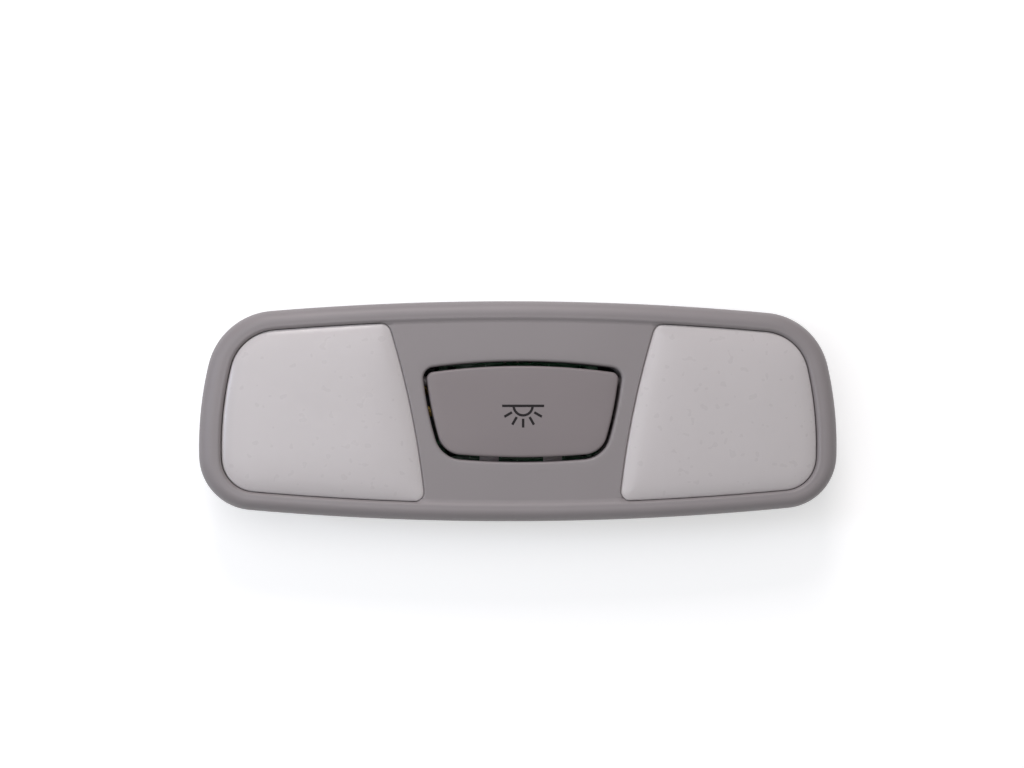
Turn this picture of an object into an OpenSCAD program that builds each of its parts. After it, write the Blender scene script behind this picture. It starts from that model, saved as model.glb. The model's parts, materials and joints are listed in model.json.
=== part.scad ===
// Rear seat courtesy light for a car's headliner, lying face up on its flat back.
// X runs along the long side, Y across it, and Z out of the visible face.
// The origin is on the back plane, under the middle of the outline.

/* [Outline] */
// Overall width of the bezel
body_w = 200; // [190:1:230]
// Overall height of the bezel, measured on its middle line
body_h = 68.7; // [66:0.1:76]
// Radius of the long top edge
top_arc_r = 920; // [700:10:1200]
// Radius of the long bottom edge
bottom_arc_r = 937; // [700:1:1200]
// Radius of the two short ends
end_arc_r = 111; // [90:1:140]
// How far the widest point of the ends lies below the middle
end_arc_drop = 10.9; // [6:0.1:14]
// Radius of the two top corners
top_corner_r = 21.6; // [18:0.1:24]
// Radius of the two bottom corners
bottom_corner_r = 17; // [15:0.1:20]
// Radius along which the face falls away towards the ends
crown_r = 4000; // [3000:100:9000]

/* [Rim] */
// Width of the rim along the top
rim_top_w = 6; // [5.6:0.1:7]
// Width of the rim along the bottom
rim_bottom_w = 5.7; // [5.5:0.1:7]
// Width of the rim at the ends
rim_end_w = 6.9; // [6:0.1:8]
// Height of the rim's crest above the headliner
rim_rise = 6.75; // [6:0.05:8]
// Height of the straight lip on the rim's outer edge
lip_h = 2.3; // [1.8:0.1:3]
// Thickness of that lip
lip_t = 1.9; // [1.5:0.1:2.2]
// Fall of the rounded inner edge of the rim
rim_edge_drop = 1.4; // [1:0.1:1.8]
// Depth of the body behind the headliner
back_depth = 21; // [20:0.5:26]
// Height of the skirt that stands in the headliner's cut-out
skirt_h = 7; // [5:0.5:8]
// Wall thickness of the skirt
skirt_t = 1.6; // [1.4:0.1:1.8]

/* [Centre panel] */
// Depth of the centre panel below the rim's crest
panel_drop = 0.8; // [0.4:0.1:1.4]
// Thickness of the centre panel
panel_t = 2.2; // [1.8:0.1:2.6]
// Rounding of the lip around the button well
well_lip_r = 0.9; // [0.5:0.1:1.1]
// Wall thickness of the button well
well_wall = 1.5; // [1.2:0.1:1.8]
// Depth of the button well below the panel
well_depth = 10.4; // [9.8:0.1:11]

/* [Lenses] */
// Distance from the middle of the lamp to each lens window
lens_inner_x = 34.6; // [33.5:0.1:38]
// Radius of the lens side that faces the button
lens_side_r = 275; // [200:5:400]
// Slope of that side
lens_side_tilt = 11.6; // [9:0.1:13]
// Radius of the upper corner beside the button panel
lens_top_corner_r = 3.5; // [2.5:0.1:5]
// Radius of the lower corner beside the button panel
lens_bottom_corner_r = 3; // [2.5:0.1:5]
// Gap between each lens and its window
lens_gap = 0.28; // [0.15:0.01:0.4]
// Thickness of the lens moulding
lens_t = 1.8; // [1.4:0.1:2.2]
// Rise of the lens face from its edge to its middle
lens_crown = 1.4; // [0.8:0.1:2]
// Depth of the lens edge below the rim's crest
lens_edge_drop = 0.75; // [0.5:0.05:1.2]
// Depth of the lens foot below the headliner
lens_foot_drop = 1; // [0.5:0.1:2]

/* [Button] */
// Width of the button across its middle
cap_w = 56.4; // [54:0.1:58]
// Radius of the button's two sides
cap_side_r = 110; // [90:1:150]
// Slope of the button's two sides
cap_side_tilt = 11.9; // [9:0.1:13]
// Height of the button above the middle line
cap_up = 14.1; // [13.4:0.05:14.4]
// Depth of the button below the middle line
cap_down = 14.3; // [13.4:0.05:14.6]
// Radius of the button's top edge
cap_top_r = 206; // [160:2:300]
// Radius of the button's bottom edge
cap_bottom_r = 230; // [160:2:300]
// Radius of the button's top corners
cap_top_corner_r = 2.2; // [1.6:0.1:3.5]
// Radius of the button's bottom corners
cap_bottom_corner_r = 7.5; // [5:0.1:9]
// Gap beside the button
cap_side_gap = 1.1; // [0.9:0.05:1.3]
// Gap above and below the button
cap_end_gap = 1.5; // [1.3:0.05:1.7]
// Height of the button face above the panel
cap_proud = 0.25; // [0:0.05:0.5]
// Thickness of the button moulding
cap_t = 1.8; // [1.4:0.1:2.2]
// Depth of the button's skirt below its face
cap_skirt_h = 8.9; // [8.5:0.1:9.2]
// Travel of the button about its hinge, in degrees
press_angle = 4; // [3:0.5:4]
// Height of the hinge line above the middle line
hinge_y = 9.5; // [8.5:0.1:10]
// Depth of the hinge line below the panel
hinge_drop = 6.4; // [6:0.1:6.8]
// Radius of the hinge trunnions
trunnion_r = 1.5; // [1.2:0.05:1.7]
// Radial clearance of the trunnions in their ears
trunnion_gap = 0.05; // [0.02:0.01:0.1]

/* [Switch] */
// Side length of the square switch body
switch_w = 12; // [10:0.5:14]
// Height of the switch body
switch_h = 7; // [6:0.1:7.4]
// Distance of the plunger below the middle line
plunger_drop = 3; // [1:0.1:4]
// Radius of the plunger's stem
stem_r = 1.5; // [1.2:0.05:1.6]
// Radius of the plunger's head
plunger_head_r = 3.2; // [3.1:0.1:3.8]
// Gap between the plunger and the button's post
push_gap = 0.3; // [0.2:0.05:0.5]
// Mean radius of the return spring
spring_r = 2.4; // [2.3:0.05:2.6]
// Radius of the spring's wire
wire_r = 0.3; // [0.2:0.02:0.35]
// Turns of the return spring
spring_turns = 4; // [3:0.5:4.5]

/* [Housing] */
// Thickness of the housing's walls
housing_wall = 1.6; // [1.4:0.1:2]
// Thickness of the housing's floor
floor_t = 1.6; // [1.4:0.1:2]
// Clearance between housing and skirt
housing_gap = 0.15; // [0.1:0.05:0.3]
// Distance of the screws from the middle line, sideways
screw_x = 20; // [18:0.5:20.5]
// Distance of the screws from the middle line, up and down
screw_y = 22.4; // [22.2:0.1:22.8]
// Radius of the screw shanks
screw_r = 1.2; // [1:0.05:1.4]
// Length of the screw shanks
screw_len = 14; // [12:0.5:16]
// Radius of the screw heads
screw_head_r = 2.7; // [2.4:0.1:2.8]
// Number of vent slots behind each bulb
vents = 5; // [3:1:6]
// Spacing of the vent slots
vent_pitch = 6; // [5:0.5:7]

/* [Bulbs and wiring] */
// Length of the festoon bulbs
bulb_len = 36; // [34:0.5:38]
// Radius of the bulb glass
bulb_r = 5; // [4:0.1:5.5]
// Height of the bulb's axis above the back
bulb_z = 13; // [12.5:0.1:14]
// Thickness of the contact strips
strip_t = 0.5; // [0.4:0.05:0.6]
// Thickness of the reflector trays
tray_t = 0.8; // [0.6:0.05:1]
// Width of the circuit board
board_w = 52; // [50:0.5:53]
// Height of the circuit board
board_h = 33; // [32:0.5:34]
// Thickness of the circuit board
board_t = 1.6; // [1.2:0.1:1.8]
// Width of the connector header
header_w = 18; // [17:0.5:20]
// Length of the connector header, from its back to its mouth
header_len = 11.6; // [11:0.1:12.5]
// Number of connector pins
pins = 3; // [2:1:4]
// Spacing of the connector pins
pin_pitch = 4; // [3:0.1:4]
// Thickness of a connector pin
pin_t = 0.64; // [0.5:0.02:0.7]

/* [Retaining clips] */
// Width of the spring clips
clip_w = 10; // [8:0.5:12]
// Thickness of the clips' spring steel
clip_t = 0.45; // [0.35:0.05:0.5]
// How far the clips bow out from the skirt
clip_bow = 1.9; // [1.5:0.1:2]

/* [Hidden] */
$fn = 48;
tiny = 0.01;

// Levels, from the back plane up
seat_z = back_depth;
crest_z = seat_z + rim_rise;
panel_z = crest_z - panel_drop;
panel_under_z = panel_z - panel_t;
cap_z = panel_z + cap_proud;
cap_skirt_z = cap_z - cap_skirt_h;
well_z = panel_z - well_depth;
lens_foot_z = seat_z - lens_foot_drop;
wall_top_z = lens_foot_z - tray_t;
skirt_z = seat_z - skirt_h;
window_z = seat_z + 2;
groove_z = crest_z - 2.5;
hinge_z = panel_z - hinge_drop;
board_z = floor_t + 1.6;
board_top_z = board_z + board_t;
switch_top_z = board_top_z + switch_h;
boss_z = 12;
screw_seat_z = 3.6;

// Distances of the skirt and the housing from the window line, positive inwards
window_ledge = 0.8;
skirt_in = -window_ledge;
skirt_out = skirt_in - skirt_t;
housing_out = skirt_in + housing_gap;
housing_in = housing_out + housing_wall;

// Points in each arc of an outline
SIDE_N = 12;
END_N = 5;
CORNER_N = 8;

// Middle of each lens, where its bulb lies
window_end_x = body_w/2 - rim_end_w;
bulb_x = (lens_inner_x + window_end_x)/2;

// Fall of the crowned face at a distance x from the middle
function sag(x) = x*x/(2*crown_r);

// Centre of the fillet of radius r that touches circles a and b from inside
function fillet_centre(a, b, r) =
    let (
        ra = a[2] - r,
        rb = b[2] - r,
        v = [b[0] - a[0], b[1] - a[1]],
        gap = norm(v),
        along = (ra*ra - rb*rb + gap*gap)/(2*gap),
        across = sqrt(max(ra*ra - along*along, 0)),
        u = v/gap
    )
    [a[0] + along*u[0] - across*u[1], a[1] + along*u[1] + across*u[0]];

// Direction from a circle's centre to a point, in degrees
function bearing(c, p) = atan2(p[1] - c[1], p[0] - c[0]);

// Points of an arc, from angle a0 anticlockwise to a1, without its last point
function arc(c, r, a0, a1, n) =
    let (end = a1 < a0 ? a1 + 360 : a1)
    [for (i = [0:n - 1]) let (t = a0 + (end - a0)*i/n) [c[0] + r*cos(t), c[1] + r*sin(t)]];

// Outline shared by four circles [x, y, r], right, top, left and bottom, with rounded corners.
// It starts in the lower right corner and runs anticlockwise.
function outline(discs, corners, counts) =
    let (f = [for (i = [0:3]) fillet_centre(discs[i], discs[(i + 1)%4], corners[i])])
    [for (i = [0:3])
        let (
            d = discs[i],
            next = discs[(i + 1)%4],
            before = f[(i + 3)%4],
            here = f[i]
        )
        each concat(
            arc(d, d[2], bearing(d, before), bearing(d, here), counts[i]),
            arc(here, corners[i], bearing(d, here), bearing(next, here), CORNER_N)
        )
    ];

// Circles of the bezel's outline, moved in by a distance at the top, the bottom and the ends
function end_disc(side, inset) = [side*(body_w/2 - end_arc_r), -end_arc_drop, end_arc_r - inset];
function top_disc(inset) = [0, body_h/2 - top_arc_r, top_arc_r - inset];
function bottom_disc(inset) = [0, bottom_arc_r - body_h/2, bottom_arc_r - inset];

// Outline at a share of the rim's width, from 0 on its outer edge to 1 on the window line,
// moved on inwards by a distance
function rim_ring(share, inset) =
    let (
        top = share*rim_top_w + inset,
        bottom = share*rim_bottom_w + inset,
        end = share*rim_end_w + inset,
        tc = top_corner_r - (top + end)/2,
        bc = bottom_corner_r - (bottom + end)/2
    )
    outline(
        [end_disc(1, end), top_disc(top), end_disc(-1, end), bottom_disc(bottom)],
        [tc, tc, bc, bc],
        [END_N, SIDE_N, END_N, SIDE_N]
    );
function window_ring(inset) = rim_ring(1, inset);

// Circle of the lens side that faces the button, on the right-hand lens
function lens_side_disc(inset) = [
    lens_inner_x + lens_side_r*cos(lens_side_tilt),
    -lens_side_r*sin(lens_side_tilt),
    lens_side_r - inset
];

// Outline of the right-hand lens window, moved inwards
function lens_ring(inset, least_r = 1.5) =
    outline(
        [
            end_disc(1, rim_end_w + inset),
            top_disc(rim_top_w + inset),
            lens_side_disc(inset),
            bottom_disc(rim_bottom_w + inset)
        ],
        [
            max(top_corner_r - (rim_top_w + rim_end_w)/2 - inset, least_r),
            max(lens_top_corner_r - inset, least_r),
            max(lens_bottom_corner_r - inset, least_r),
            max(bottom_corner_r - (rim_bottom_w + rim_end_w)/2 - inset, least_r)
        ],
        [END_N, END_N, END_N, END_N]
    );

// Part of that outline beside the button panel, from its top corner to its bottom one
function lens_inner_side(inset) =
    let (ring = lens_ring(inset))
    [for (i = [2*END_N + CORNER_N:3*END_N + 3*CORNER_N]) ring[i]];

// Outline of the button, moved inwards at the sides and at the top and bottom
function cap_ring(side, end, least_r = 0.6) =
    let (
        dx = cap_side_r*cos(cap_side_tilt) - cap_w/2,
        dy = cap_side_r*sin(cap_side_tilt),
        move = (side + end)/2,
        tc = max(cap_top_corner_r - move, least_r),
        bc = max(cap_bottom_corner_r - move, least_r)
    )
    outline(
        [
            [-dx, dy, cap_side_r - side],
            [0, cap_up - cap_top_r, cap_top_r - end],
            [dx, dy, cap_side_r - side],
            [0, cap_bottom_r - cap_down, cap_bottom_r - end]
        ],
        [tc, tc, bc, bc],
        [4, 6, 4, 6]
    );
function well_ring(outset) = cap_ring(-cap_side_gap - outset, -cap_end_gap - outset);

// Distance from the middle of a point on the window line, moved inwards
function window_top_y(x, inset) =
    let (d = top_disc(rim_top_w + inset)) d[1] + sqrt(d[2]*d[2] - x*x);
function window_bottom_y(x, inset) =
    let (d = bottom_disc(rim_bottom_w + inset)) d[1] - sqrt(d[2]*d[2] - x*x);
function lens_side_x(y, inset) =
    let (d = lens_side_disc(inset)) d[0] - sqrt(d[2]*d[2] - (y - d[1])*(y - d[1]));
function cap_side_x(y) =
    let (dy = y - cap_side_r*sin(cap_side_tilt))
    cap_w/2 - cap_side_r*cos(cap_side_tilt) + sqrt(cap_side_r*cap_side_r - dy*dy);

// A flat outline lifted to height z, which falls with the crown times a share
function lift(ring, z, share = 0) = [for (p = ring) [p[0], p[1], z - share*sag(p[0])]];

function middle(ring) = [for (k = [0:2]) [for (p = ring) p[k]]*[for (p = ring) 1]/len(ring)];

// Solid skin over a list of rings, joined in a loop or closed at both ends by a fan.
// The rings run up the outside, over the top and down the inside.
module skin(rings, loop = false) {
    n = len(rings[0]);
    m = len(rings);
    bands = loop ? m : m - 1;
    points = concat(
        [for (r = rings) each r],
        loop ? [] : [middle(rings[0]), middle(rings[m - 1])]
    );
    sides = [
        for (j = [0:bands - 1])
        for (i = [0:n - 1])
        let (
            a = j*n + i,
            b = j*n + (i + 1)%n,
            c = ((j + 1)%m)*n + (i + 1)%n,
            d = ((j + 1)%m)*n + i
        )
        each [[a, d, c], [a, c, b]]
    ];
    ends = loop ? [] : [
        for (i = [0:n - 1])
        each [
            [m*n, i, (i + 1)%n],
            [m*n + 1, (m - 1)*n + (i + 1)%n, (m - 1)*n + i]
        ]
    ];
    polyhedron(points, concat(sides, ends), convexity = 8);
}

// Outline of a bent strip of even thickness along an open path
function strip_side(path, half) = [
    for (i = [0:len(path) - 1])
    let (
        a = path[max(i - 1, 0)],
        b = path[i],
        c = path[min(i + 1, len(path) - 1)],
        u = i == 0 ? (c - b)/norm(c - b) : (b - a)/norm(b - a),
        v = i == len(path) - 1 ? u : (c - b)/norm(c - b),
        n = [-u[1] - v[1], u[0] + v[0]],
        scale = 2/(n*n)
    )
    b + half*scale*n
];
function strip(path, t) =
    let (
        left = strip_side(path, t/2),
        right = strip_side(path, -t/2)
    )
    concat(left, [for (i = [len(right) - 1:-1:0]) right[i]]);

// A strip drawn in X and Z, made so wide in Y and centred on y
module bent_strip(path, t, width, y = 0) {
    translate([0, y + width/2, 0])
        rotate([90, 0, 0])
        linear_extrude(width)
        polygon(strip(path, t));
}

module box(low, high) {
    translate(low) cube(high - low);
}

// One child on the right and its mirror image on the left
module both_sides() {
    children();
    mirror([1, 0, 0]) children();
}

module at_screws() {
    for (x = [-screw_x, screw_x])
        for (y = [-screw_y, screw_y])
            translate([x, y, 0]) children();
}

// Bezel

rim_crest_share = 0.62;
rim_edge_share = 0.8;

// Section of the rim and the skirt, from the lip's foot over the crest and down to the skirt
module rim() {
    roll = [for (t = [0:15:90])
        lift(rim_ring(rim_crest_share*(1 - cos(t)), 0), seat_z + lip_h + (rim_rise - lip_h)*sin(t), 1)];
    edge = [for (t = [0:30:90])
        lift(
            rim_ring(rim_edge_share + (1 - rim_edge_share)*sin(t), 0),
            crest_z - 0.1 - rim_edge_drop*(1 - cos(t)),
            1
        )];
    under = [
        lift(window_ring(0), window_z),
        lift(window_ring(skirt_in), window_z),
        lift(window_ring(skirt_in), skirt_z),
        lift(window_ring(skirt_out), skirt_z),
        lift(window_ring(skirt_out), groove_z, 1),
        lift(rim_ring(0, lip_t), groove_z, 1),
        lift(rim_ring(0, lip_t), seat_z)
    ];
    skin(concat([lift(rim_ring(0, 0), seat_z)], roll, edge, under), loop = true);
}

// Plan of the centre panel between the two windows, run into the rim at top and bottom
module panel_plan() {
    side = lens_inner_side(0);
    last = len(side) - 1;
    bite = 1.2;
    right = concat(
        [[side[0][0], window_top_y(side[0][0], -bite)]],
        side,
        [[side[last][0], window_bottom_y(side[last][0], -bite)]]
    );
    n = len(right) - 1;
    polygon(concat(right, [for (i = [n:-1:0]) [-right[i][0], right[i][1]]]));
}

// Space of the button well, with a rounded lip
module well_space() {
    translate([0, 0, well_z - 1])
        linear_extrude(panel_z - well_z + 2)
        polygon(well_ring(0));
    skin(concat(
        [lift(well_ring(-0.2), panel_z - well_lip_r - 1)],
        [for (t = [0:30:90])
            lift(well_ring(well_lip_r*(1 - cos(t)) + tiny), panel_z - well_lip_r*(1 - sin(t)))],
        [lift(well_ring(well_lip_r + tiny), panel_z + 1)]
    ));
}

ear_r = trunnion_r + 1.7;
ear_x = cap_side_x(hinge_y) + cap_side_gap + well_wall + 1.6;
hook_w = 6;
hook_t = 1.2;
hook_x = 10;
hook_z = cap_skirt_z + hook_t;
snap_x = bulb_x - 4;
snap_w = 6;
snap_z = skirt_z + 1.6;

module screw_boss(low, high, r) {
    at_screws() translate([0, 0, low]) cylinder(r = r, h = high - low);
}

module bezel() {
    color([0.56, 0.54, 0.54])
    difference() {
        union() {
            rim();
            difference() {
                union() {
                    translate([0, 0, panel_under_z]) linear_extrude(panel_t) panel_plan();
                    translate([0, 0, well_z])
                        linear_extrude(panel_z - 0.6 - well_z)
                        polygon(well_ring(well_wall));
                    both_sides()
                        translate([cap_side_x(hinge_y), hinge_y, hinge_z])
                        rotate([0, 90, 0])
                        cylinder(r = ear_r, h = ear_x - cap_side_x(hinge_y));
                    screw_boss(boss_z, panel_under_z + 0.5, 3.4);
                    panel_ribs();
                }
                well_space();
            }
        }
        trunnion_bores();
        screw_boss(boss_z - 1, boss_z + screw_len - 6, screw_r + 0.05);
        hook_slots();
        snap_slots();
        clip_pockets();
    }
}

module panel_ribs() {
    for (x = [-screw_x, 0, screw_x]) {
        box([x - 0.6, cap_up, panel_under_z - 4], [x + 0.6, window_top_y(0, skirt_in) - 0.4, panel_under_z + 0.5]);
        box(
            [x - 0.6, window_bottom_y(0, skirt_in) + 0.4, panel_under_z - 4],
            [x + 0.6, -cap_down, panel_under_z + 0.5]
        );
    }
}

module trunnion_bores() {
    translate([-ear_x - 1, hinge_y, hinge_z])
        rotate([0, 90, 0])
        cylinder(r = trunnion_r + trunnion_gap, h = 2*ear_x + 2);
}

// Notches in the well's lower wall, in which the button's hooks travel
module hook_slots() {
    for (x = [-hook_x, hook_x])
        box(
            [x - hook_w/2 - 0.4, -cap_down - cap_end_gap - well_wall - 1, well_z - 1],
            [x + hook_w/2 + 0.4, -cap_down - 0.6, hook_z + 0.3]
        );
}

// Slots in the skirt that take the housing's snap wedges
module snap_slots() {
    for (x = [-snap_x, snap_x]) {
        box(
            [x - snap_w/2 - 0.3, window_top_y(snap_x, 0.4), snap_z - 0.2],
            [x + snap_w/2 + 0.3, window_top_y(snap_x, skirt_out - 1), snap_z + 1.8]
        );
        box(
            [x - snap_w/2 - 0.3, window_bottom_y(snap_x, skirt_out - 1), snap_z - 0.2],
            [x + snap_w/2 + 0.3, window_bottom_y(snap_x, 0.4), snap_z + 1.8]
        );
    }
}

// Lenses

lens_edge_z = crest_z - lens_edge_drop;

// How far a value lies from the middle of its range, from -1 to 1
function off_middle(v, low, high) = (2*v - low - high)/(high - low);

// Height of the crowned lens face at a point, which is lowest along its edges
function lens_face_z(p) =
    let (
        u = off_middle(p[0], lens_side_x(p[1], 0), window_end_x),
        v = off_middle(p[1], window_bottom_y(p[0], 0), window_top_y(p[0], 0))
    )
    lens_edge_z + lens_crown*(1 - pow(u, 4))*(1 - pow(v, 4)) - sag(p[0]);

// Ring of the lens face, moved in from its edge and down from its surface
function lens_face_ring(inset, down) =
    [for (p = lens_ring(lens_gap + inset)) [p[0], p[1], lens_face_z(p) - down]];

module lens_bead(size) {
    translate(-size/2) cube(size);
}

module lens() {
    skin(concat(
        [for (inset = [19, 13, 7, lens_t]) lens_face_ring(inset, lens_t)],
        [
            lift(lens_ring(lens_gap + lens_t), lens_foot_z),
            lift(lens_ring(lens_gap), lens_foot_z),
            lift(lens_ring(lens_gap), lens_edge_z - 0.7, 1),
            lens_face_ring(0.2, 0.25),
            lens_face_ring(0.7, 0)
        ],
        [for (inset = [1.8, 3.5, 6, 9, 13, 19]) lens_face_ring(inset, 0)]
    ));
    bead = 0.45;
    bead_z = window_z - 0.65;
    translate([window_end_x - lens_gap, -end_arc_drop, bead_z]) lens_bead([2*bead, 12, 0.9]);
    translate([bulb_x, window_top_y(bulb_x, lens_gap), bead_z]) lens_bead([14, 2*bead, 0.9]);
    translate([bulb_x, window_bottom_y(bulb_x, lens_gap), bead_z]) lens_bead([14, 2*bead, 0.9]);
    translate([lens_side_x(0, lens_gap), 0, panel_under_z - 0.65])
        rotate([0, 0, -lens_side_tilt])
        lens_bead([4*bead, 12, 0.9]);
}

module lens_right() {
    color([0.76, 0.75, 0.74]) lens();
}

module lens_left() {
    color([0.78, 0.77, 0.77]) mirror([1, 0, 0]) lens();
}

// Button

module button_cap() {
    post_z = plunger_top_z + push_gap;
    post_r = 2.4;
    color([0.5, 0.47, 0.46]) {
        skin([
            lift(cap_ring(cap_t + 3, cap_t + 3), cap_z - cap_t),
            lift(cap_ring(cap_t, cap_t), cap_z - cap_t),
            lift(cap_ring(cap_t, cap_t), cap_skirt_z),
            lift(cap_ring(0, 0), cap_skirt_z),
            lift(cap_ring(0, 0), cap_z - 0.85),
            lift(cap_ring(0.08, 0.08), cap_z - 0.5),
            lift(cap_ring(0.3, 0.3), cap_z - 0.2),
            lift(cap_ring(0.8, 0.8), cap_z),
            lift(cap_ring(4, 4), cap_z + 0.12)
        ]);
        both_sides() trunnion();
        translate([0, -plunger_drop, post_z])
            cylinder(r1 = 1.3, r2 = post_r, h = 1.1);
        translate([0, -plunger_drop, post_z + 1.1])
            cylinder(r = post_r, h = cap_z - 0.5*cap_t - post_z - 1.1);
        cap_ribs(post_z + 2.5);
        for (x = [-hook_x, hook_x])
            box(
                [x - hook_w/2, -cap_down - cap_end_gap - 0.7, cap_skirt_z],
                [x + hook_w/2, -cap_down + cap_t, hook_z]
            );
    }
}

// Pin from the button's side wall into the ear of the bezel
module trunnion() {
    root = cap_side_x(hinge_y) - cap_t - 0.4;
    translate([root, hinge_y, hinge_z])
        rotate([0, 90, 0])
        cylinder(r = trunnion_r, h = ear_x - 0.6 - root);
}

// Cross ribs that carry the push post under the button's face
module cap_ribs(z) {
    top = cap_z - 0.5*cap_t;
    reach_x = cap_side_x(-plunger_drop) - 0.5*cap_t;
    box([-reach_x, -plunger_drop - 0.6, z], [reach_x, -plunger_drop + 0.6, top]);
    for (x = [0, -hook_x - 4, hook_x + 4])
        box([x - 0.6, -cap_down + 0.5*cap_t + 1, z], [x + 0.6, cap_up - 0.5*cap_t - 1, top]);
}

// Switch

plunger_top_z = cap_skirt_z + 0.4;
plunger_head_z = plunger_top_z - 2.7;
plunger_travel = (hinge_y + plunger_drop)*press_angle*PI/180;
stem_z = switch_top_z - 3;

module switch_body() {
    color([0.12, 0.12, 0.13])
    translate([0, -plunger_drop, 0])
    difference() {
        union() {
            box([-switch_w/2, -switch_w/2, board_top_z], [switch_w/2, switch_w/2, switch_top_z - 0.8]);
            translate([0, 0, board_top_z]) cylinder(r = switch_w/2 - 0.6, h = switch_h);
        }
        translate([0, 0, stem_z - plunger_travel - 0.4])
            cylinder(r = stem_r + 0.05, h = switch_h);
    }
}

module switch_plunger() {
    color([0.85, 0.84, 0.8])
    translate([0, -plunger_drop, 0]) {
        translate([0, 0, stem_z]) cylinder(r = stem_r, h = plunger_top_z - stem_z - 0.5);
        translate([0, 0, plunger_head_z]) cylinder(r = plunger_head_r, h = 1.2);
        translate([0, 0, plunger_head_z + 1]) cylinder(r1 = 2.6, r2 = 2, h = 1.7);
    }
}

// Return spring, a round wire wound between the switch body and the plunger's head
module switch_spring() {
    steps = 12;
    n = round(spring_turns*steps);
    low = switch_top_z + wire_r + 0.06;
    high = plunger_head_z - wire_r - 0.06;
    rings = [for (i = [0:n])
        let (t = 360*i/steps, z = low + (high - low)*i/n)
        [for (k = [0:5])
            let (a = 60*k, r = spring_r + wire_r*cos(a))
            [r*cos(t), r*sin(t), z + wire_r*sin(a)]]];
    color([0.7, 0.7, 0.72])
    translate([0, -plunger_drop, 0])
    mirror([0, 1, 0])
    skin(rings);
}

// Housing

module housing_plan(inset) {
    polygon(window_ring(inset));
}

// Walls between the lamp chambers and the middle bay
module partitions(low, high) {
    translate([0, 0, low])
    linear_extrude(high - low)
    intersection() {
        housing_plan((housing_out + housing_in)/2);
        both_sides() {
            d = lens_side_disc(housing_out);
            translate([d[0], d[1]])
            difference() {
                circle(r = d[2], $fn = 360);
                circle(r = d[2] - housing_wall, $fn = 360);
            }
        }
    }
}

stake_x = board_w/2 - 5;
stake_y = board_h/2 - 4;

module at_stakes() {
    for (x = [-stake_x, stake_x])
        for (y = [-stake_y, stake_y])
            translate([x, y, 0]) children();
}

module rear_housing() {
    color([0.2, 0.2, 0.21])
    difference() {
        union() {
            difference() {
                linear_extrude(wall_top_z) housing_plan(housing_out);
                translate([0, 0, floor_t]) linear_extrude(wall_top_z) housing_plan(housing_in);
            }
            partitions(floor_t - 0.5, wall_top_z);
            screw_boss(0.5, boss_z, 4.4);
            at_stakes() board_stake();
            tray_ribs();
            snap_wedges();
        }
        screw_boss(-1, screw_seat_z, screw_head_r + 0.3);
        screw_boss(-1, boss_z + 1, screw_r + 0.35);
        vent_slots();
        strip_notches();
        header_mouth();
    }
}

// Posts that the circuit board stands on, with their heat-formed heads
module board_stake() {
    translate([0, 0, floor_t - 0.5]) cylinder(r = 2.4, h = board_z - floor_t + 0.5);
    translate([0, 0, floor_t]) cylinder(r = 1.1, h = board_top_z - floor_t + 0.5);
    translate([0, 0, board_top_z]) cylinder(r1 = 1.9, r2 = 1.3, h = 0.9);
}

vent_len = 14;
vent_low_y = -20;
function vent_x(i) = bulb_x + (i - (vents - 1)/2)*vent_pitch;

// Ribs between the vents, on which the reflector tray's floor lies
module tray_ribs() {
    both_sides()
        for (i = [0:vents])
            box(
                [vent_x(i) - vent_pitch/2 - 0.5, vent_low_y, floor_t - 0.5],
                [vent_x(i) - vent_pitch/2 + 0.5, vent_low_y + vent_len, tray_floor_z - 0.05]
            );
}

module vent_slots() {
    both_sides()
        for (i = [0:vents - 1])
            box([vent_x(i) - 1, vent_low_y, -1], [vent_x(i) + 1, vent_low_y + vent_len, floor_t + 1]);
}

// Wedges that snap into the skirt's slots
module snap_wedges() {
    both_sides() {
        translate([snap_x - snap_w/2, window_top_y(snap_x, housing_out) - 0.3, snap_z])
            snap_wedge();
        translate([snap_x + snap_w/2, window_bottom_y(snap_x, housing_out) + 0.3, snap_z])
            rotate([0, 0, 180])
            snap_wedge();
    }
}

module snap_wedge() {
    rotate([90, 0, 90]) linear_extrude(snap_w) polygon([[0, 0], [1.3, 0], [0.5, 1.6], [0, 1.6]]);
}

lane_w = 3.5;
inner_lane_y = 0;
outer_lane_y = 7;

// Notches through which the contact strips reach the middle bay
module strip_notches() {
    both_sides()
        for (y = [inner_lane_y, outer_lane_y])
            box(
                [lens_side_x(y, housing_out) - 3, y - lane_w/2 - 0.4, floor_t],
                [lens_side_x(y, housing_in) + 3, y + lane_w/2 + 0.4, floor_t + strip_t + 0.6]
            );
}

// Reflectors

tray_floor_z = 5.6;

module reflector() {
    lip = 2.4;
    deep = 8;
    difference() {
        skin([
            lift(lens_ring(deep + 8, 4), tray_floor_z),
            lift(lens_ring(deep, 4), tray_floor_z),
            lift(lens_ring(lip + tray_t + 0.6), wall_top_z),
            lift(lens_ring(skirt_in + 0.3), wall_top_z),
            lift(lens_ring(skirt_in + 0.3), lens_foot_z),
            lift(lens_ring(lip + 0.6), lens_foot_z),
            lift(lens_ring(deep + tray_t/2, 4), tray_floor_z + tray_t),
            lift(lens_ring(deep + 8, 4), tray_floor_z + tray_t)
        ]);
        for (x = [inner_contact_x, outer_contact_x])
            box([x - 0.9, -contact_w/2 - 0.5, tray_floor_z - 1], [x + 0.9, contact_w/2 + 0.5, bulb_z]);
    }
}

module reflector_right() {
    color([0.93, 0.93, 0.92]) reflector();
}

module reflector_left() {
    color([0.93, 0.93, 0.92]) mirror([1, 0, 0]) reflector();
}

// Bulbs, turned about X

cap_len = 5;
tip_len = 2.4;
tip_r = 1.55;
cap_r = 4.2;

module along_x(x) {
    translate([x, 0, bulb_z]) rotate([0, 90, 0]) children();
}

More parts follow.
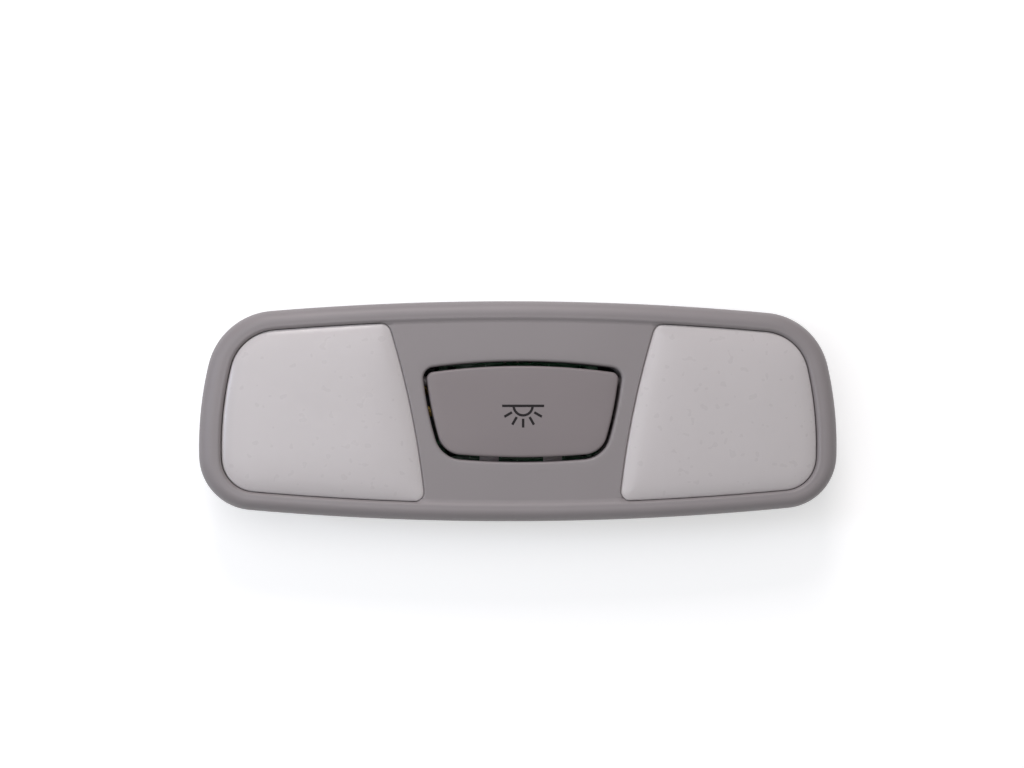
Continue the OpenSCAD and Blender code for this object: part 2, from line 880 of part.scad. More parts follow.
// Half of the glass's section, from its middle out into the cap
function glass_section(half, r, neck) = [
    [r, 0], [r, half - 3.5], [r - 0.15*r, half - 1.6], [neck, half], [neck, half + 1.5]
];

module bulb_glass(x) {
    half = bulb_len/2 - tip_len - cap_len;
    glass_t = 0.6;
    outer = glass_section(half, bulb_r, cap_r - 0.6);
    inner = glass_section(half, bulb_r - glass_t, cap_r - 0.6 - glass_t);
    upper = concat(outer, [for (i = [len(inner) - 1:-1:0]) inner[i]]);
    color([0.85, 0.87, 0.9, 0.4])
    along_x(x)
    rotate_extrude()
    polygon(concat(
        [for (i = [len(outer) - 1:-1:1]) [outer[i][0], -outer[i][1]]],
        upper,
        [for (i = [1:len(inner) - 1]) [inner[i][0], -inner[i][1]]]
    ));
}

module bulb_caps(x) {
    start = bulb_len/2 - tip_len - cap_len;
    color([0.75, 0.75, 0.76])
    along_x(x)
    for (turn = [0, 180])
        rotate([turn, 0, 0])
        rotate_extrude()
        polygon([
            [cap_r - 0.5, start], [cap_r, start], [cap_r, start + cap_len],
            [2.3, start + cap_len + 0.3*tip_len], [tip_r, start + cap_len + 0.45*tip_len],
            [0.9, start + cap_len + tip_len],
            [0, start + cap_len + tip_len], [0, start + 2], [cap_r - 0.5, start + 2]
        ]);
}

module filament(x) {
    start = bulb_len/2 - tip_len - cap_len + 2;
    color([0.3, 0.3, 0.32])
    along_x(x)
    rotate_extrude($fn = 24)
    polygon([
        [0, -start], [0.2, -start], [0.2, -6], [0.55, -6], [0.55, 6], [0.2, 6], [0.2, start], [0, start]
    ]);
}

// Contact strips

contact_w = 8;
inner_contact_x = bulb_x - bulb_len/2 + 0.4*tip_len;
outer_contact_x = bulb_x + bulb_len/2 - 0.4*tip_len;
riser_x = board_w/2 - 3;

// Stamped strip from the board along the housing's floor to one end of a bulb
module contact(x, lane_y) {
    z = floor_t + strip_t/2;
    top = bulb_z + 3.6;
    difference() {
        union() {
            bent_strip(
                [[riser_x, board_top_z + 0.5], [riser_x, z], [x, z], [x, floor_t + 3]],
                strip_t, lane_w, lane_y
            );
            bent_strip([[x, floor_t], [x, top]], strip_t, contact_w);
            box([x - 2, -contact_w/2, floor_t], [x + strip_t/2, lane_y + lane_w/2, floor_t + strip_t]);
        }
        along_x(x) cylinder(r = tip_r + 0.15, h = 4, center = true);
    }
}

module brass() {
    color([0.78, 0.66, 0.36]) children();
}

// Circuit board

module circuit_board() {
    tongue_w = header_w + 2;
    color([0.1, 0.32, 0.2])
    difference() {
        union() {
            box([-board_w/2, -board_h/2, board_z], [board_w/2, board_h/2, board_top_z]);
            box([-tongue_w/2, 0, board_z], [tongue_w/2, header_back_y + 8, board_top_z]);
        }
        at_stakes() translate([0, 0, board_z - 1]) cylinder(r = 1.2, h = board_t + 2);
        for (x = [-riser_x, riser_x])
            for (y = [inner_lane_y, outer_lane_y])
                box(
                    [x - strip_t/2 - 0.15, y - lane_w/2 - 0.15, board_z - 1],
                    [x + strip_t/2 + 0.15, y + lane_w/2 + 0.15, board_top_z + 1]
                );
        for (i = [0:pins - 1])
            translate([pin_x(i), pin_tail_y, board_z - 1])
            cylinder(r = pin_t*0.8, h = board_t + 2);
    }
}

// Connector

header_wall = 1.2;
header_back_wall = 2;
header_mouth_y = window_top_y(header_w/2, housing_out) - 0.1;
header_back_y = header_mouth_y - header_len;
header_top_z = skirt_z - 0.6;
pin_z = board_top_z + header_wall + 1.3;
pin_tail_y = header_back_y - 1.4;
function pin_x(i) = (i - (pins - 1)/2)*pin_pitch;

module connector_header() {
    color([0.9, 0.89, 0.85])
    difference() {
        box([-header_w/2, header_back_y, board_top_z], [header_w/2, header_mouth_y, header_top_z]);
        box(
            [-header_w/2 + header_wall, header_back_y + header_back_wall, board_top_z + header_wall],
            [header_w/2 - header_wall, header_mouth_y + 1, header_top_z - header_wall + 0.2]
        );
        for (i = [0:pins - 1])
            box(
                [pin_x(i) - pin_t/2 - 0.03, header_back_y - 1, pin_z - 0.03],
                [pin_x(i) + pin_t/2 + 0.03, header_back_y + header_back_wall + 1, pin_z + pin_t + 0.03]
            );
    }
}

module connector_pins() {
    color([0.8, 0.75, 0.55])
    for (i = [0:pins - 1])
        translate([pin_x(i) + pin_t/2, 0, 0])
        rotate([0, -90, 0])
        linear_extrude(pin_t)
        polygon(strip(
            [[board_z - 0.9, pin_tail_y], [pin_z + pin_t/2, pin_tail_y], [pin_z + pin_t/2, header_mouth_y - 2]],
            pin_t
        ));
}

// Opening in the housing's wall for the connector
module header_mouth() {
    box(
        [-header_w/2 - 0.2, header_mouth_y - 4, board_top_z - 0.1],
        [header_w/2 + 0.2, header_mouth_y + 4, header_top_z + 0.2]
    );
}

// Retaining clips, each a bent spring hooked over the skirt's end

clip_in_z = skirt_z + 4.5;
clip_pocket = clip_t + 0.25;

module clip_pockets() {
    both_sides()
        box(
            [window_end_x, -end_arc_drop - clip_w/2 - 0.3, skirt_z - 1],
            [window_end_x - skirt_in + clip_pocket, -end_arc_drop + clip_w/2 + 0.3, clip_in_z + 0.3]
        );
}

module clip() {
    inner = window_end_x - skirt_in + clip_pocket - clip_t/2 - 0.03;
    outer = window_end_x - skirt_out + clip_t/2 + 0.03;
    low = skirt_z - clip_t/2 - 0.03;
    bent_strip(
        [
            [inner, clip_in_z], [inner, low], [outer, low], [outer, skirt_z + 0.6],
            [outer + clip_bow, skirt_z + 4], [outer + clip_bow, skirt_z + 4.8],
            [outer + 0.5, seat_z - 0.5]
        ],
        clip_t, clip_w, -end_arc_drop
    );
}

module clip_right() {
    color([0.62, 0.63, 0.65]) clip();
}

module clip_left() {
    color([0.62, 0.63, 0.65]) mirror([1, 0, 0]) clip();
}

// Screws, driven from behind into the bezel's bosses

module housing_screws() {
    head_h = 1.8;
    color([0.55, 0.56, 0.58])
    at_screws()
    difference() {
        union() {
            translate([0, 0, screw_seat_z - head_h]) cylinder(r = screw_head_r, h = head_h);
            translate([0, 0, screw_seat_z - 0.2]) cylinder(r = screw_r, h = screw_len + 0.2);
        }
        for (turn = [0, 90])
            rotate([0, 0, turn])
            box([-1.6, -0.35, screw_seat_z - head_h - 1], [1.6, 0.35, screw_seat_z - head_h + 1]);
    }
}

bezel();
lens_left();
lens_right();
button_cap();
rear_housing();
reflector_left();
reflector_right();
bulb_glass(-bulb_x);  // bulb_glass_left
bulb_glass(bulb_x);  // bulb_glass_right
bulb_caps(-bulb_x);  // bulb_caps_left
bulb_caps(bulb_x);  // bulb_caps_right
filament(-bulb_x);  // filament_left
filament(bulb_x);  // filament_right
mirror([1, 0, 0]) brass() contact(outer_contact_x, outer_lane_y);  // contact_left_outer
mirror([1, 0, 0]) brass() contact(inner_contact_x, inner_lane_y);  // contact_left_inner
brass() contact(outer_contact_x, outer_lane_y);  // contact_right_outer
brass() contact(inner_contact_x, inner_lane_y);  // contact_right_inner
circuit_board();
switch_body();
switch_plunger();
switch_spring();
connector_header();
connector_pins();
clip_left();
clip_right();
housing_screws();
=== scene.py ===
"""Rear seat courtesy light of a car, lying face up on a white surface.

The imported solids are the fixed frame. The bezel, the two opal lenses and the push button are modelled again
here as smooth mouldings from the same sizes, the pieces behind them are given rounded edges, and every piece
gets its own finish. Sizes are in millimetres and are turned to metres as each mesh is drawn.
"""

from __future__ import annotations

import json
import logging
import math
from dataclasses import dataclass, field
from enum import Enum
from functools import cached_property
from typing import Callable, Iterable, Mapping, Sequence

import bmesh
import bpy
from mathutils import Matrix, Vector

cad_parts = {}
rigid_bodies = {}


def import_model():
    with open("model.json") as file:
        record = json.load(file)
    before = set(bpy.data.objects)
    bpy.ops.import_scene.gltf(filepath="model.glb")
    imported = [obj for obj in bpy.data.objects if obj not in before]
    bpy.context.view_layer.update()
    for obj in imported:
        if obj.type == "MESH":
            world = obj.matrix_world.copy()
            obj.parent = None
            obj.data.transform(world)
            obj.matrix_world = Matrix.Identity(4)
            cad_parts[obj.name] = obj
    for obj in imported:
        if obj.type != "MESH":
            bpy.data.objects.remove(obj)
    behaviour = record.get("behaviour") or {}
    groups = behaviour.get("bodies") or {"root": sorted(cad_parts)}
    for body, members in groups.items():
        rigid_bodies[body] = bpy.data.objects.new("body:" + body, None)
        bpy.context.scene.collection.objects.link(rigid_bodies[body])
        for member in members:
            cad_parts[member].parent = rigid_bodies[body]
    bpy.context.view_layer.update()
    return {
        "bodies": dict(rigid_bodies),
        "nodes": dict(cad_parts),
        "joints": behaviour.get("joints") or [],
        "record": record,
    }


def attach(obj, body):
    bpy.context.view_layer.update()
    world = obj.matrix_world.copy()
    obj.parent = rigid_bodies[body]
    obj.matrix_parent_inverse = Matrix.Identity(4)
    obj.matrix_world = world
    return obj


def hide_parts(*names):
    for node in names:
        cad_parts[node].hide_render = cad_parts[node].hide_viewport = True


log = logging.getLogger("rear_seat_light")

MM = 0.001

Point = tuple[float, float]
Ring = list[tuple[float, float, float]]


class Body(Enum):
    """The moving bodies of the lamp."""

    FIXED = "body"
    BUTTON = "button"
    PLUNGER = "plunger"


class Side(Enum):
    """Which end of the lamp a piece belongs to."""

    LEFT = -1
    RIGHT = 1

    @property
    def word(self) -> str:
        """The side's name as it stands in a node's name."""
        return self.name.lower()


# Outlines


def even(steps: int) -> list[float]:
    """Shares from 0 up to 1, evenly spaced, without the last one."""
    return [i / steps for i in range(steps)]


def mix(a: float, b: float, share: float) -> float:
    """Value at a share of the way from a to b."""
    return a + (b - a) * share


def ease(value: float, low: float, high: float) -> float:
    """Share of the way from low to high, with a soft start and end."""
    t = min(max((value - low) / (high - low), 0.0), 1.0)
    return t * t * (3.0 - 2.0 * t)


def round_drop(distance: float, width: float, depth: float) -> float:
    """Fall of a quarter round at a distance from its edge.

    Args:
        distance: How far the point lies from the edge.
        width: How wide the rounding is.
        depth: How far the surface has fallen at the edge.

    Returns:
        The fall below the surface, 0 where the rounding has ended.
    """
    t = min(max(1.0 - distance / width, 0.0), 1.0)
    return depth * (1.0 - math.sqrt(1.0 - t * t))


@dataclass(frozen=True)
class Disc:
    """Circle that one edge of an outline follows."""

    x: float
    y: float
    r: float

    def inset(self, by: float) -> Disc:
        """The same circle, smaller by a distance."""
        return Disc(self.x, self.y, self.r - by)

    def reach(self, x: float, y: float) -> float:
        """Distance of a point from the centre."""
        return math.hypot(x - self.x, y - self.y)

    def bearing(self, x: float, y: float) -> float:
        """Direction of a point from the centre."""
        return math.atan2(y - self.y, x - self.x)

    def arc(self, start: float, end: float, shares: Sequence[float]) -> list[Point]:
        """Points at shares of the arc that runs anticlockwise from start to end."""
        if end < start:
            end += 2.0 * math.pi
        angles = [mix(start, end, s) for s in shares]
        return [(self.x + self.r * math.cos(a), self.y + self.r * math.sin(a)) for a in angles]


@dataclass(frozen=True)
class Outline:
    """Closed outline of four arcs, right, top, left and bottom, with a rounded corner after each."""

    discs: tuple[Disc, Disc, Disc, Disc]
    corners: tuple[float, float, float, float]

    @cached_property
    def fillets(self) -> list[Disc]:
        """Circles of the rounded corners, each touching two arcs from inside."""
        found = []
        for i, r in enumerate(self.corners):
            a, b = self.discs[i], self.discs[(i + 1) % 4]
            ra, rb = a.r - r, b.r - r
            gap = math.hypot(b.x - a.x, b.y - a.y)
            along = (ra * ra - rb * rb + gap * gap) / (2.0 * gap)
            across = math.sqrt(max(ra * ra - along * along, 0.0))
            ux, uy = (b.x - a.x) / gap, (b.y - a.y) / gap
            found.append(Disc(a.x + along * ux - across * uy, a.y + along * uy + across * ux, r))
        return found

    def edge(self, i: int, shares: Sequence[float]) -> list[Point]:
        """Points at shares of arc i."""
        disc, before, here = self.discs[i], self.fillets[i - 1], self.fillets[i]
        return disc.arc(disc.bearing(before.x, before.y), disc.bearing(here.x, here.y), shares)

    def corner(self, i: int, shares: Sequence[float]) -> list[Point]:
        """Points at shares of the rounded corner after arc i."""
        disc, after, here = self.discs[i], self.discs[(i + 1) % 4], self.fillets[i]
        return here.arc(disc.bearing(here.x, here.y), after.bearing(here.x, here.y), shares)

    def ring(self, edges: Sequence[Sequence[float]], corner: Sequence[float]) -> list[Point]:
        """Points all round, at shares of each of the four arcs and of each corner."""
        return [p for i in range(4) for p in (*self.edge(i, edges[i]), *self.corner(i, corner))]

    def share_of(self, i: int, x: float, y: float) -> float:
        """Share of arc i at which a point lies, seen from the arc's centre."""
        disc, before, here = self.discs[i], self.fillets[i - 1], self.fillets[i]
        start, end = disc.bearing(before.x, before.y), disc.bearing(here.x, here.y)
        return (disc.bearing(x, y) - start) / (end - start)

    def outside(self, x: float, y: float) -> float:
        """How far a point lies outside the outline, or minus its depth inside it."""
        turn = 2.0 * math.pi
        for i, f in enumerate(self.fillets):
            start = self.discs[i].bearing(f.x, f.y)
            end = self.discs[(i + 1) % 4].bearing(f.x, f.y)
            if (f.bearing(x, y) - start) % turn < (end - start) % turn:
                return f.reach(x, y) - f.r
        return max(d.reach(x, y) - d.r for d in self.discs)


def spaced(path: Sequence[Point], steps: int) -> list[Point]:
    """Points evenly spaced along an open path, without its last one."""
    lengths = [0.0]
    for a, b in zip(path, path[1:]):
        lengths.append(lengths[-1] + math.dist(a, b))
    points, k = [], 0
    for share in even(steps):
        want = share * lengths[-1]
        while lengths[k + 1] < want:
            k += 1
        t = (want - lengths[k]) / (lengths[k + 1] - lengths[k])
        points.append((mix(path[k][0], path[k + 1][0], t), mix(path[k][1], path[k + 1][1], t)))
    return points


@dataclass(frozen=True)
class FacePlan:
    """Plan of the lamp's face, from the sizes that drive its solids."""

    width: float = 200.0
    height: float = 68.7
    top_arc_r: float = 920.0
    bottom_arc_r: float = 937.0
    end_arc_r: float = 111.0
    end_arc_drop: float = 10.9
    top_corner_r: float = 21.6
    bottom_corner_r: float = 17.0
    crown_r: float = 4000.0
    rim_top_w: float = 6.0
    rim_bottom_w: float = 5.7
    rim_end_w: float = 6.9
    lens_inner_x: float = 34.6
    lens_side_r: float = 275.0
    lens_side_tilt: float = math.radians(11.6)
    lens_top_corner_r: float = 3.5
    lens_bottom_corner_r: float = 3.0
    cap_w: float = 56.4
    cap_side_r: float = 110.0
    cap_side_tilt: float = math.radians(11.9)
    cap_up: float = 14.1
    cap_down: float = 14.3
    cap_top_r: float = 206.0
    cap_bottom_r: float = 230.0
    cap_top_corner_r: float = 2.2
    cap_bottom_corner_r: float = 7.5
    cap_side_gap: float = 1.1
    cap_end_gap: float = 1.5

    def sag(self, x: float) -> float:
        """Fall of the crowned face at a distance from the middle."""
        return x * x / (2.0 * self.crown_r)

    @property
    def window_end_x(self) -> float:
        """Outermost point of a lens window."""
        return self.width / 2.0 - self.rim_end_w

    def end_disc(self, side: int, inset: float) -> Disc:
        """Circle of a short end of the bezel."""
        return Disc(side * (self.width / 2.0 - self.end_arc_r), -self.end_arc_drop, self.end_arc_r - inset)

    def top_disc(self, inset: float) -> Disc:
        """Circle of the long top edge of the bezel."""
        return Disc(0.0, self.height / 2.0 - self.top_arc_r, self.top_arc_r - inset)

    def bottom_disc(self, inset: float) -> Disc:
        """Circle of the long bottom edge of the bezel."""
        return Disc(0.0, self.bottom_arc_r - self.height / 2.0, self.bottom_arc_r - inset)

    def rim(self, share: float, inset: float = 0.0) -> Outline:
        """Outline at a share of the rim's width, from 0 outside to 1 on the window line."""
        top, bottom, end = (share * w + inset for w in (self.rim_top_w, self.rim_bottom_w, self.rim_end_w))
        upper = self.top_corner_r - (top + end) / 2.0
        lower = self.bottom_corner_r - (bottom + end) / 2.0
        discs = (self.end_disc(1, end), self.top_disc(top), self.end_disc(-1, end), self.bottom_disc(bottom))
        return Outline(discs, (upper, upper, lower, lower))

    def lens(self, inset: float = 0.0, end: float = 0.0, side: float = 0.0, least_r: float = 1.5) -> Outline:
        """Outline of the right-hand lens window, moved inwards, and more so at its outer end or inner side."""
        inner = Disc(
            self.lens_inner_x + self.lens_side_r * math.cos(self.lens_side_tilt),
            -self.lens_side_r * math.sin(self.lens_side_tilt),
            self.lens_side_r - inset - side,
        )
        discs = (
            self.end_disc(1, self.rim_end_w + inset + end),
            self.top_disc(self.rim_top_w + inset),
            inner,
            self.bottom_disc(self.rim_bottom_w + inset),
        )
        corners = (
            self.top_corner_r - (self.rim_top_w + self.rim_end_w) / 2.0,
            self.lens_top_corner_r,
            self.lens_bottom_corner_r,
            self.bottom_corner_r - (self.rim_bottom_w + self.rim_end_w) / 2.0,
        )
        return Outline(discs, tuple(max(r - inset, least_r) for r in corners))

    def cap(self, side: float, end: float, least_r: float = 0.6) -> Outline:
        """Outline of the button, moved inwards at its sides and at its top and bottom."""
        dx = self.cap_side_r * math.cos(self.cap_side_tilt) - self.cap_w / 2.0
        dy = self.cap_side_r * math.sin(self.cap_side_tilt)
        move = (side + end) / 2.0
        upper = max(self.cap_top_corner_r - move, least_r)
        lower = max(self.cap_bottom_corner_r - move, least_r)
        discs = (
            Disc(-dx, dy, self.cap_side_r - side),
            Disc(0.0, self.cap_up - self.cap_top_r, self.cap_top_r - end),
            Disc(dx, dy, self.cap_side_r - side),
            Disc(0.0, self.cap_bottom_r - self.cap_down, self.cap_bottom_r - end),
        )
        return Outline(discs, (upper, upper, lower, lower))

    def well(self, outset: float) -> Outline:
        """Outline of the button well, moved outwards."""
        return self.cap(-self.cap_side_gap - outset, -self.cap_end_gap - outset)

    def cap_side_x(self, y: float) -> float:
        """Distance of the button's side from the middle at a height."""
        side = self.cap(0.0, 0.0).discs[0]
        return side.x + math.sqrt(side.r**2 - (y - side.y) ** 2)

    def window_top_y(self, x: float, inset: float = 0.0) -> float:
        """Height of the windows' top edge."""
        disc = self.top_disc(self.rim_top_w + inset)
        return disc.y + math.sqrt(disc.r**2 - x * x)

    def window_bottom_y(self, x: float, inset: float = 0.0) -> float:
        """Height of the windows' bottom edge."""
        disc = self.bottom_disc(self.rim_bottom_w + inset)
        return disc.y - math.sqrt(disc.r**2 - x * x)

    def lens_side_x(self, y: float) -> float:
        """Distance from the middle of the lens side that faces the button."""
        side = self.lens().discs[2]
        return side.x - math.sqrt(side.r**2 - (y - side.y) ** 2)


@dataclass(frozen=True)
class Levels:
    """Heights above the flat back."""

    seat: float = 21.0
    crest: float = 27.75
    panel: float = 26.95
    panel_under: float = 24.75
    groove: float = 25.25
    window_foot: float = 23.0
    skirt_foot: float = 14.0
    well_floor: float = 16.55
    cap_face: float = 27.2
    cap_skirt: float = 18.3
    lens_edge: float = 27.0
    lens_foot: float = 20.0
    boss_foot: float = 12.0
    hinge: float = 20.55


PLAN = FacePlan()
LEVEL = Levels()


# Mesh work


def activate(piece: bpy.types.Object) -> None:
    """Makes one object the only selected one and the active one."""
    bpy.ops.object.select_all(action="DESELECT")
    piece.select_set(True)
    bpy.context.view_layer.objects.active = piece


def apply_modifier(piece: bpy.types.Object, kind: str, **settings: object) -> None:
    """Adds a modifier with its settings to a piece and applies it."""
    activate(piece)
    modifier = piece.modifiers.new(kind.lower(), kind)
    for key, value in settings.items():
        setattr(modifier, key, value)
    bpy.ops.object.modifier_apply(modifier=modifier.name)


def edit_all(piece: bpy.types.Object, *steps: Callable[[], object]) -> None:
    """Runs edit mode operators on the whole of a piece, one after another."""
    activate(piece)
    bpy.ops.object.mode_set(mode="EDIT")
    for step in steps:
        bpy.ops.mesh.select_all(action="SELECT")
        step()
    bpy.ops.object.mode_set(mode="OBJECT")


def weld(piece: bpy.types.Object, reach_mm: float = 0.002) -> None:
    """Merges the points of a piece that meet, and turns its faces outwards."""
    edit_all(
        piece,
        lambda: bpy.ops.mesh.remove_doubles(threshold=reach_mm * MM),
        lambda: bpy.ops.mesh.normals_make_consistent(inside=False),
    )


def smooth(piece: bpy.types.Object, angle: float = 35.0) -> None:
    """Shades a piece smoothly, apart from edges sharper than an angle in degrees."""
    activate(piece)
    bpy.ops.object.shade_smooth_by_angle(angle=math.radians(angle))


def join(name: str, parts: Sequence[bpy.types.Object]) -> bpy.types.Object:
    """Joins meshes into the first one and gives it a name."""
    activate(parts[0])
    for part in parts[1:]:
        part.select_set(True)
    bpy.ops.object.join()
    parts[0].name = name
    return parts[0]


def combine(piece: bpy.types.Object, tools: Sequence[bpy.types.Object], how: str) -> None:
    """Joins tools to a piece, or cuts them out of it, and deletes them.

    Args:
        piece: The mesh that is changed.
        tools: Closed meshes, which may overlap one another.
        how: UNION or DIFFERENCE.
    """
    tool = join("tool", tools)
    apply_modifier(piece, "BOOLEAN", operation=how, object=tool, solver="EXACT", use_self=True)
    bpy.data.objects.remove(tool)


def place(low: Sequence[float], high: Sequence[float], bevel: float = 0.0) -> bpy.types.Object:
    """Adds a block between two corners, with rounded edges where a bevel is given."""
    size = Vector(high) - Vector(low)
    centre = (Vector(high) + Vector(low)) / 2.0
    bpy.ops.object.select_all(action="DESELECT")
    bpy.ops.mesh.primitive_cube_add(size=1.0, location=centre * MM)
    block = bpy.context.object
    block.scale = size * MM
    bpy.ops.object.transform_apply(location=True, rotation=True, scale=True)
    if bevel:
        edit_all(block, lambda: bpy.ops.mesh.bevel(offset=bevel * MM, segments=2, affect="EDGES"))
    return block


def rod(
    centre: Sequence[float], radius: float, length: float, axis: str = "Z", far_radius: float | None = None
) -> bpy.types.Object:
    """Adds a round bar or cone along an axis.

    Args:
        centre: Middle of the bar.
        radius: Its radius, at its lower end if it tapers.
        length: Its length.
        axis: X or Z.
        far_radius: Radius at its other end, if it tapers.

    Returns:
        The new object, at the origin with its place in its mesh.
    """
    bpy.ops.object.select_all(action="DESELECT")
    bpy.ops.mesh.primitive_cone_add(
        vertices=40,
        radius1=radius * MM,
        radius2=(radius if far_radius is None else far_radius) * MM,
        depth=length * MM,
        location=Vector(centre) * MM,
        rotation=(0.0, math.pi / 2.0 if axis == "X" else 0.0, 0.0),
    )
    bar = bpy.context.object
    bpy.ops.object.transform_apply(location=True, rotation=True, scale=True)
    return bar


class Loft:
    """Skin that is drawn ring by ring, by extruding an edge loop and setting it on the next outline."""

    def __init__(self, name: str, ring: Ring) -> None:
        """Starts the skin with a circle that is set on its first ring.

        Args:
            name: Name of the object.
            ring: Points of the first ring, in millimetres.
        """
        bpy.ops.object.select_all(action="DESELECT")
        bpy.ops.mesh.primitive_circle_add(vertices=len(ring), radius=MM, fill_type="NOTHING")
        self.piece = bpy.context.object
        self.piece.name = name
        self.size = len(ring)
        bpy.ops.object.mode_set(mode="EDIT")
        bpy.ops.mesh.select_all(action="SELECT")
        self._settle(ring)

    def _settle(self, ring: Ring) -> None:
        """Puts the points of the newest loop on a ring."""
        mesh = bmesh.from_edit_mesh(self.piece.data)
        mesh.verts.ensure_lookup_table()
        for vert, point in zip(mesh.verts[-self.size :], ring):
            vert.co = Vector(point) * MM
        bmesh.update_edit_mesh(self.piece.data)

    def add(self, *rings: Ring) -> Loft:
        """Carries the skin on over more rings."""
        for ring in rings:
            bpy.ops.mesh.extrude_edges_move()
            self._settle(ring)
        return self

    def finish(self, looped: bool = False) -> bpy.types.Object:
        """Closes the skin and returns its object.

        Args:
            looped: Whether the last ring is joined to the first one, with both ends open until then.

        Returns:
            The object, with its faces turned outwards.
        """
        if looped:
            mesh = bmesh.from_edit_mesh(self.piece.data)
            mesh.verts.ensure_lookup_table()
            first, last = mesh.verts[: self.size], mesh.verts[-self.size :]
            for i in range(self.size):
                j = (i + 1) % self.size
                mesh.faces.new((first[i], first[j], last[j], last[i]))
            bmesh.update_edit_mesh(self.piece.data)
        bpy.ops.object.mode_set(mode="OBJECT")
        weld(self.piece)
        return self.piece


def lift(points: Iterable[Point], z: float, sag_share: float = 0.0) -> Ring:
    """Flat points at a height, which falls with the crowned face by a share."""
    return [(x, y, z - sag_share * PLAN.sag(x)) for x, y in points]


def drape(points: Iterable[Point], height: Callable[[float, float], float]) -> Ring:
    """Flat points at heights that a function of their place gives."""
    return [(x, y, height(x, y)) for x, y in points]


def toward(points: Sequence[Point], goal: Sequence[Point], share: float) -> list[Point]:
    """Points at a share of the way to others."""
    return [(mix(a[0], b[0], share), mix(a[1], b[1], share)) for a, b in zip(points, goal)]


# Finishes


def linear(colour: str) -> tuple[float, float, float, float]:
    """Linear colour of an sRGB hex value such as #8d8789."""
    parts = (int(colour[i : i + 2], 16) / 255.0 for i in (1, 3, 5))
    return (*(c / 12.92 if c <= 0.04045 else ((c + 0.055) / 1.055) ** 2.4 for c in parts), 1.0)


def shaded(colour: str, share: float) -> tuple[float, float, float, float]:
    """Linear colour of a hex value, lighter or darker by a share."""
    return (*(c * (1.0 + share) for c in linear(colour)[:3]), 1.0)


def per_mm(size_mm: float) -> float:
    """Texture scale at which a pattern repeats once in so many millimetres."""
    return 1.0 / (size_mm * MM)


def add_node(
    tree: bpy.types.NodeTree, kind: str, links: Mapping[str, object] | None = None, **settings: object
) -> bpy.types.Node:
    """Adds one node to a tree.

    Args:
        tree: The tree that the node goes into.
        kind: Blender's name for the kind of node.
        links: For each input by name, the output that feeds it or its fixed value.
        settings: Properties of the node itself.

    Returns:
        The new node.
    """
    node = tree.nodes.new(kind)
    for key, value in settings.items():
        setattr(node, key, value)
    for socket, source in (links or {}).items():
        if isinstance(source, bpy.types.NodeSocket):
            tree.links.new(source, node.inputs[socket])
        else:
            node.inputs[socket].default_value = source
    return node


@dataclass(frozen=True)
class Finish:
    """What every finish has: a name, an sRGB colour and how rough it is."""

    name: str
    colour: str
    roughness: float

    def build(self) -> bpy.types.Material:
        """Makes the material from this finish's own nodes."""
        material = bpy.data.materials.new(self.name)
        material.use_nodes = True
        tree = material.node_tree
        tree.nodes.clear()
        where = add_node(tree, "ShaderNodeTexCoord").outputs["Object"]
        shader = add_node(tree, "ShaderNodeBsdfPrincipled", {"Roughness": self.roughness})
        self.draw(tree, where, shader)
        add_node(tree, "ShaderNodeOutputMaterial", {"Surface": shader.outputs["BSDF"]})
        return material

    def draw(self, tree: bpy.types.NodeTree, where: bpy.types.NodeSocket, shader: bpy.types.Node) -> None:
        """Adds the finish's patterns and sets the shader.

        Args:
            tree: The material's node tree.
            where: Place on the piece, in metres.
            shader: The Principled shader that the patterns feed.
        """
        raise NotImplementedError

    def cloud(
        self, tree: bpy.types.NodeTree, where: bpy.types.NodeSocket, size_mm: float, drift: float
    ) -> bpy.types.NodeSocket:
        """The colour, drifting a little lighter and darker over patches of a size."""
        noise = add_node(tree, "ShaderNodeTexNoise", {"Vector": where, "Scale": per_mm(size_mm), "Detail": 2.0})
        ramp = add_node(tree, "ShaderNodeValToRGB", {"Fac": noise.outputs["Fac"]})
        for element, at, share in zip(ramp.color_ramp.elements, (0.3, 0.7), (-drift, drift)):
            element.position = at
            element.color = shaded(self.colour, share)
        return ramp.outputs["Color"]

    def vary_gloss(
        self, tree: bpy.types.NodeTree, height: bpy.types.NodeSocket, shader: bpy.types.Node, spread: float
    ) -> None:
        """Lets the roughness follow a pattern, by so much either way."""
        span = add_node(
            tree,
            "ShaderNodeMapRange",
            {
                "Value": height,
                "From Min": 0.3,
                "From Max": 0.7,
                "To Min": self.roughness - spread,
                "To Max": self.roughness + spread,
            },
        )
        tree.links.new(span.outputs["Result"], shader.inputs["Roughness"])

    def emboss(
        self, tree: bpy.types.NodeTree, height: bpy.types.NodeSocket, shader: bpy.types.Node, depth_mm: float
    ) -> None:
        """Raises a pattern from the surface by a depth."""
        bump = add_node(tree, "ShaderNodeBump", {"Height": height, "Distance": depth_mm * MM})
        tree.links.new(bump.outputs["Normal"], shader.inputs["Normal"])


@dataclass(frozen=True)
class MouldedPlastic(Finish):
    """Injection moulded ABS, polypropylene or nylon.

    The tool's spark-eroded grain breaks up its gloss, and its colour drifts a little over a hand's breadth.
    """

    grain_mm: float = 0.45
    grain_depth_mm: float = 0.006
    drift: float = 0.03
    ior: float = 1.5

    def draw(self, tree: bpy.types.NodeTree, where: bpy.types.NodeSocket, shader: bpy.types.Node) -> None:
        """Adds the clouded colour and the grain."""
        shader.inputs["IOR"].default_value = self.ior
        tree.links.new(self.cloud(tree, where, 45.0, self.drift), shader.inputs["Base Color"])
        grain = add_node(
            tree, "ShaderNodeTexNoise", {"Vector": where, "Scale": per_mm(self.grain_mm), "Detail": 3.0}
        ).outputs["Fac"]
        self.vary_gloss(tree, grain, shader, 0.05)
        self.emboss(tree, grain, shader, self.grain_depth_mm)


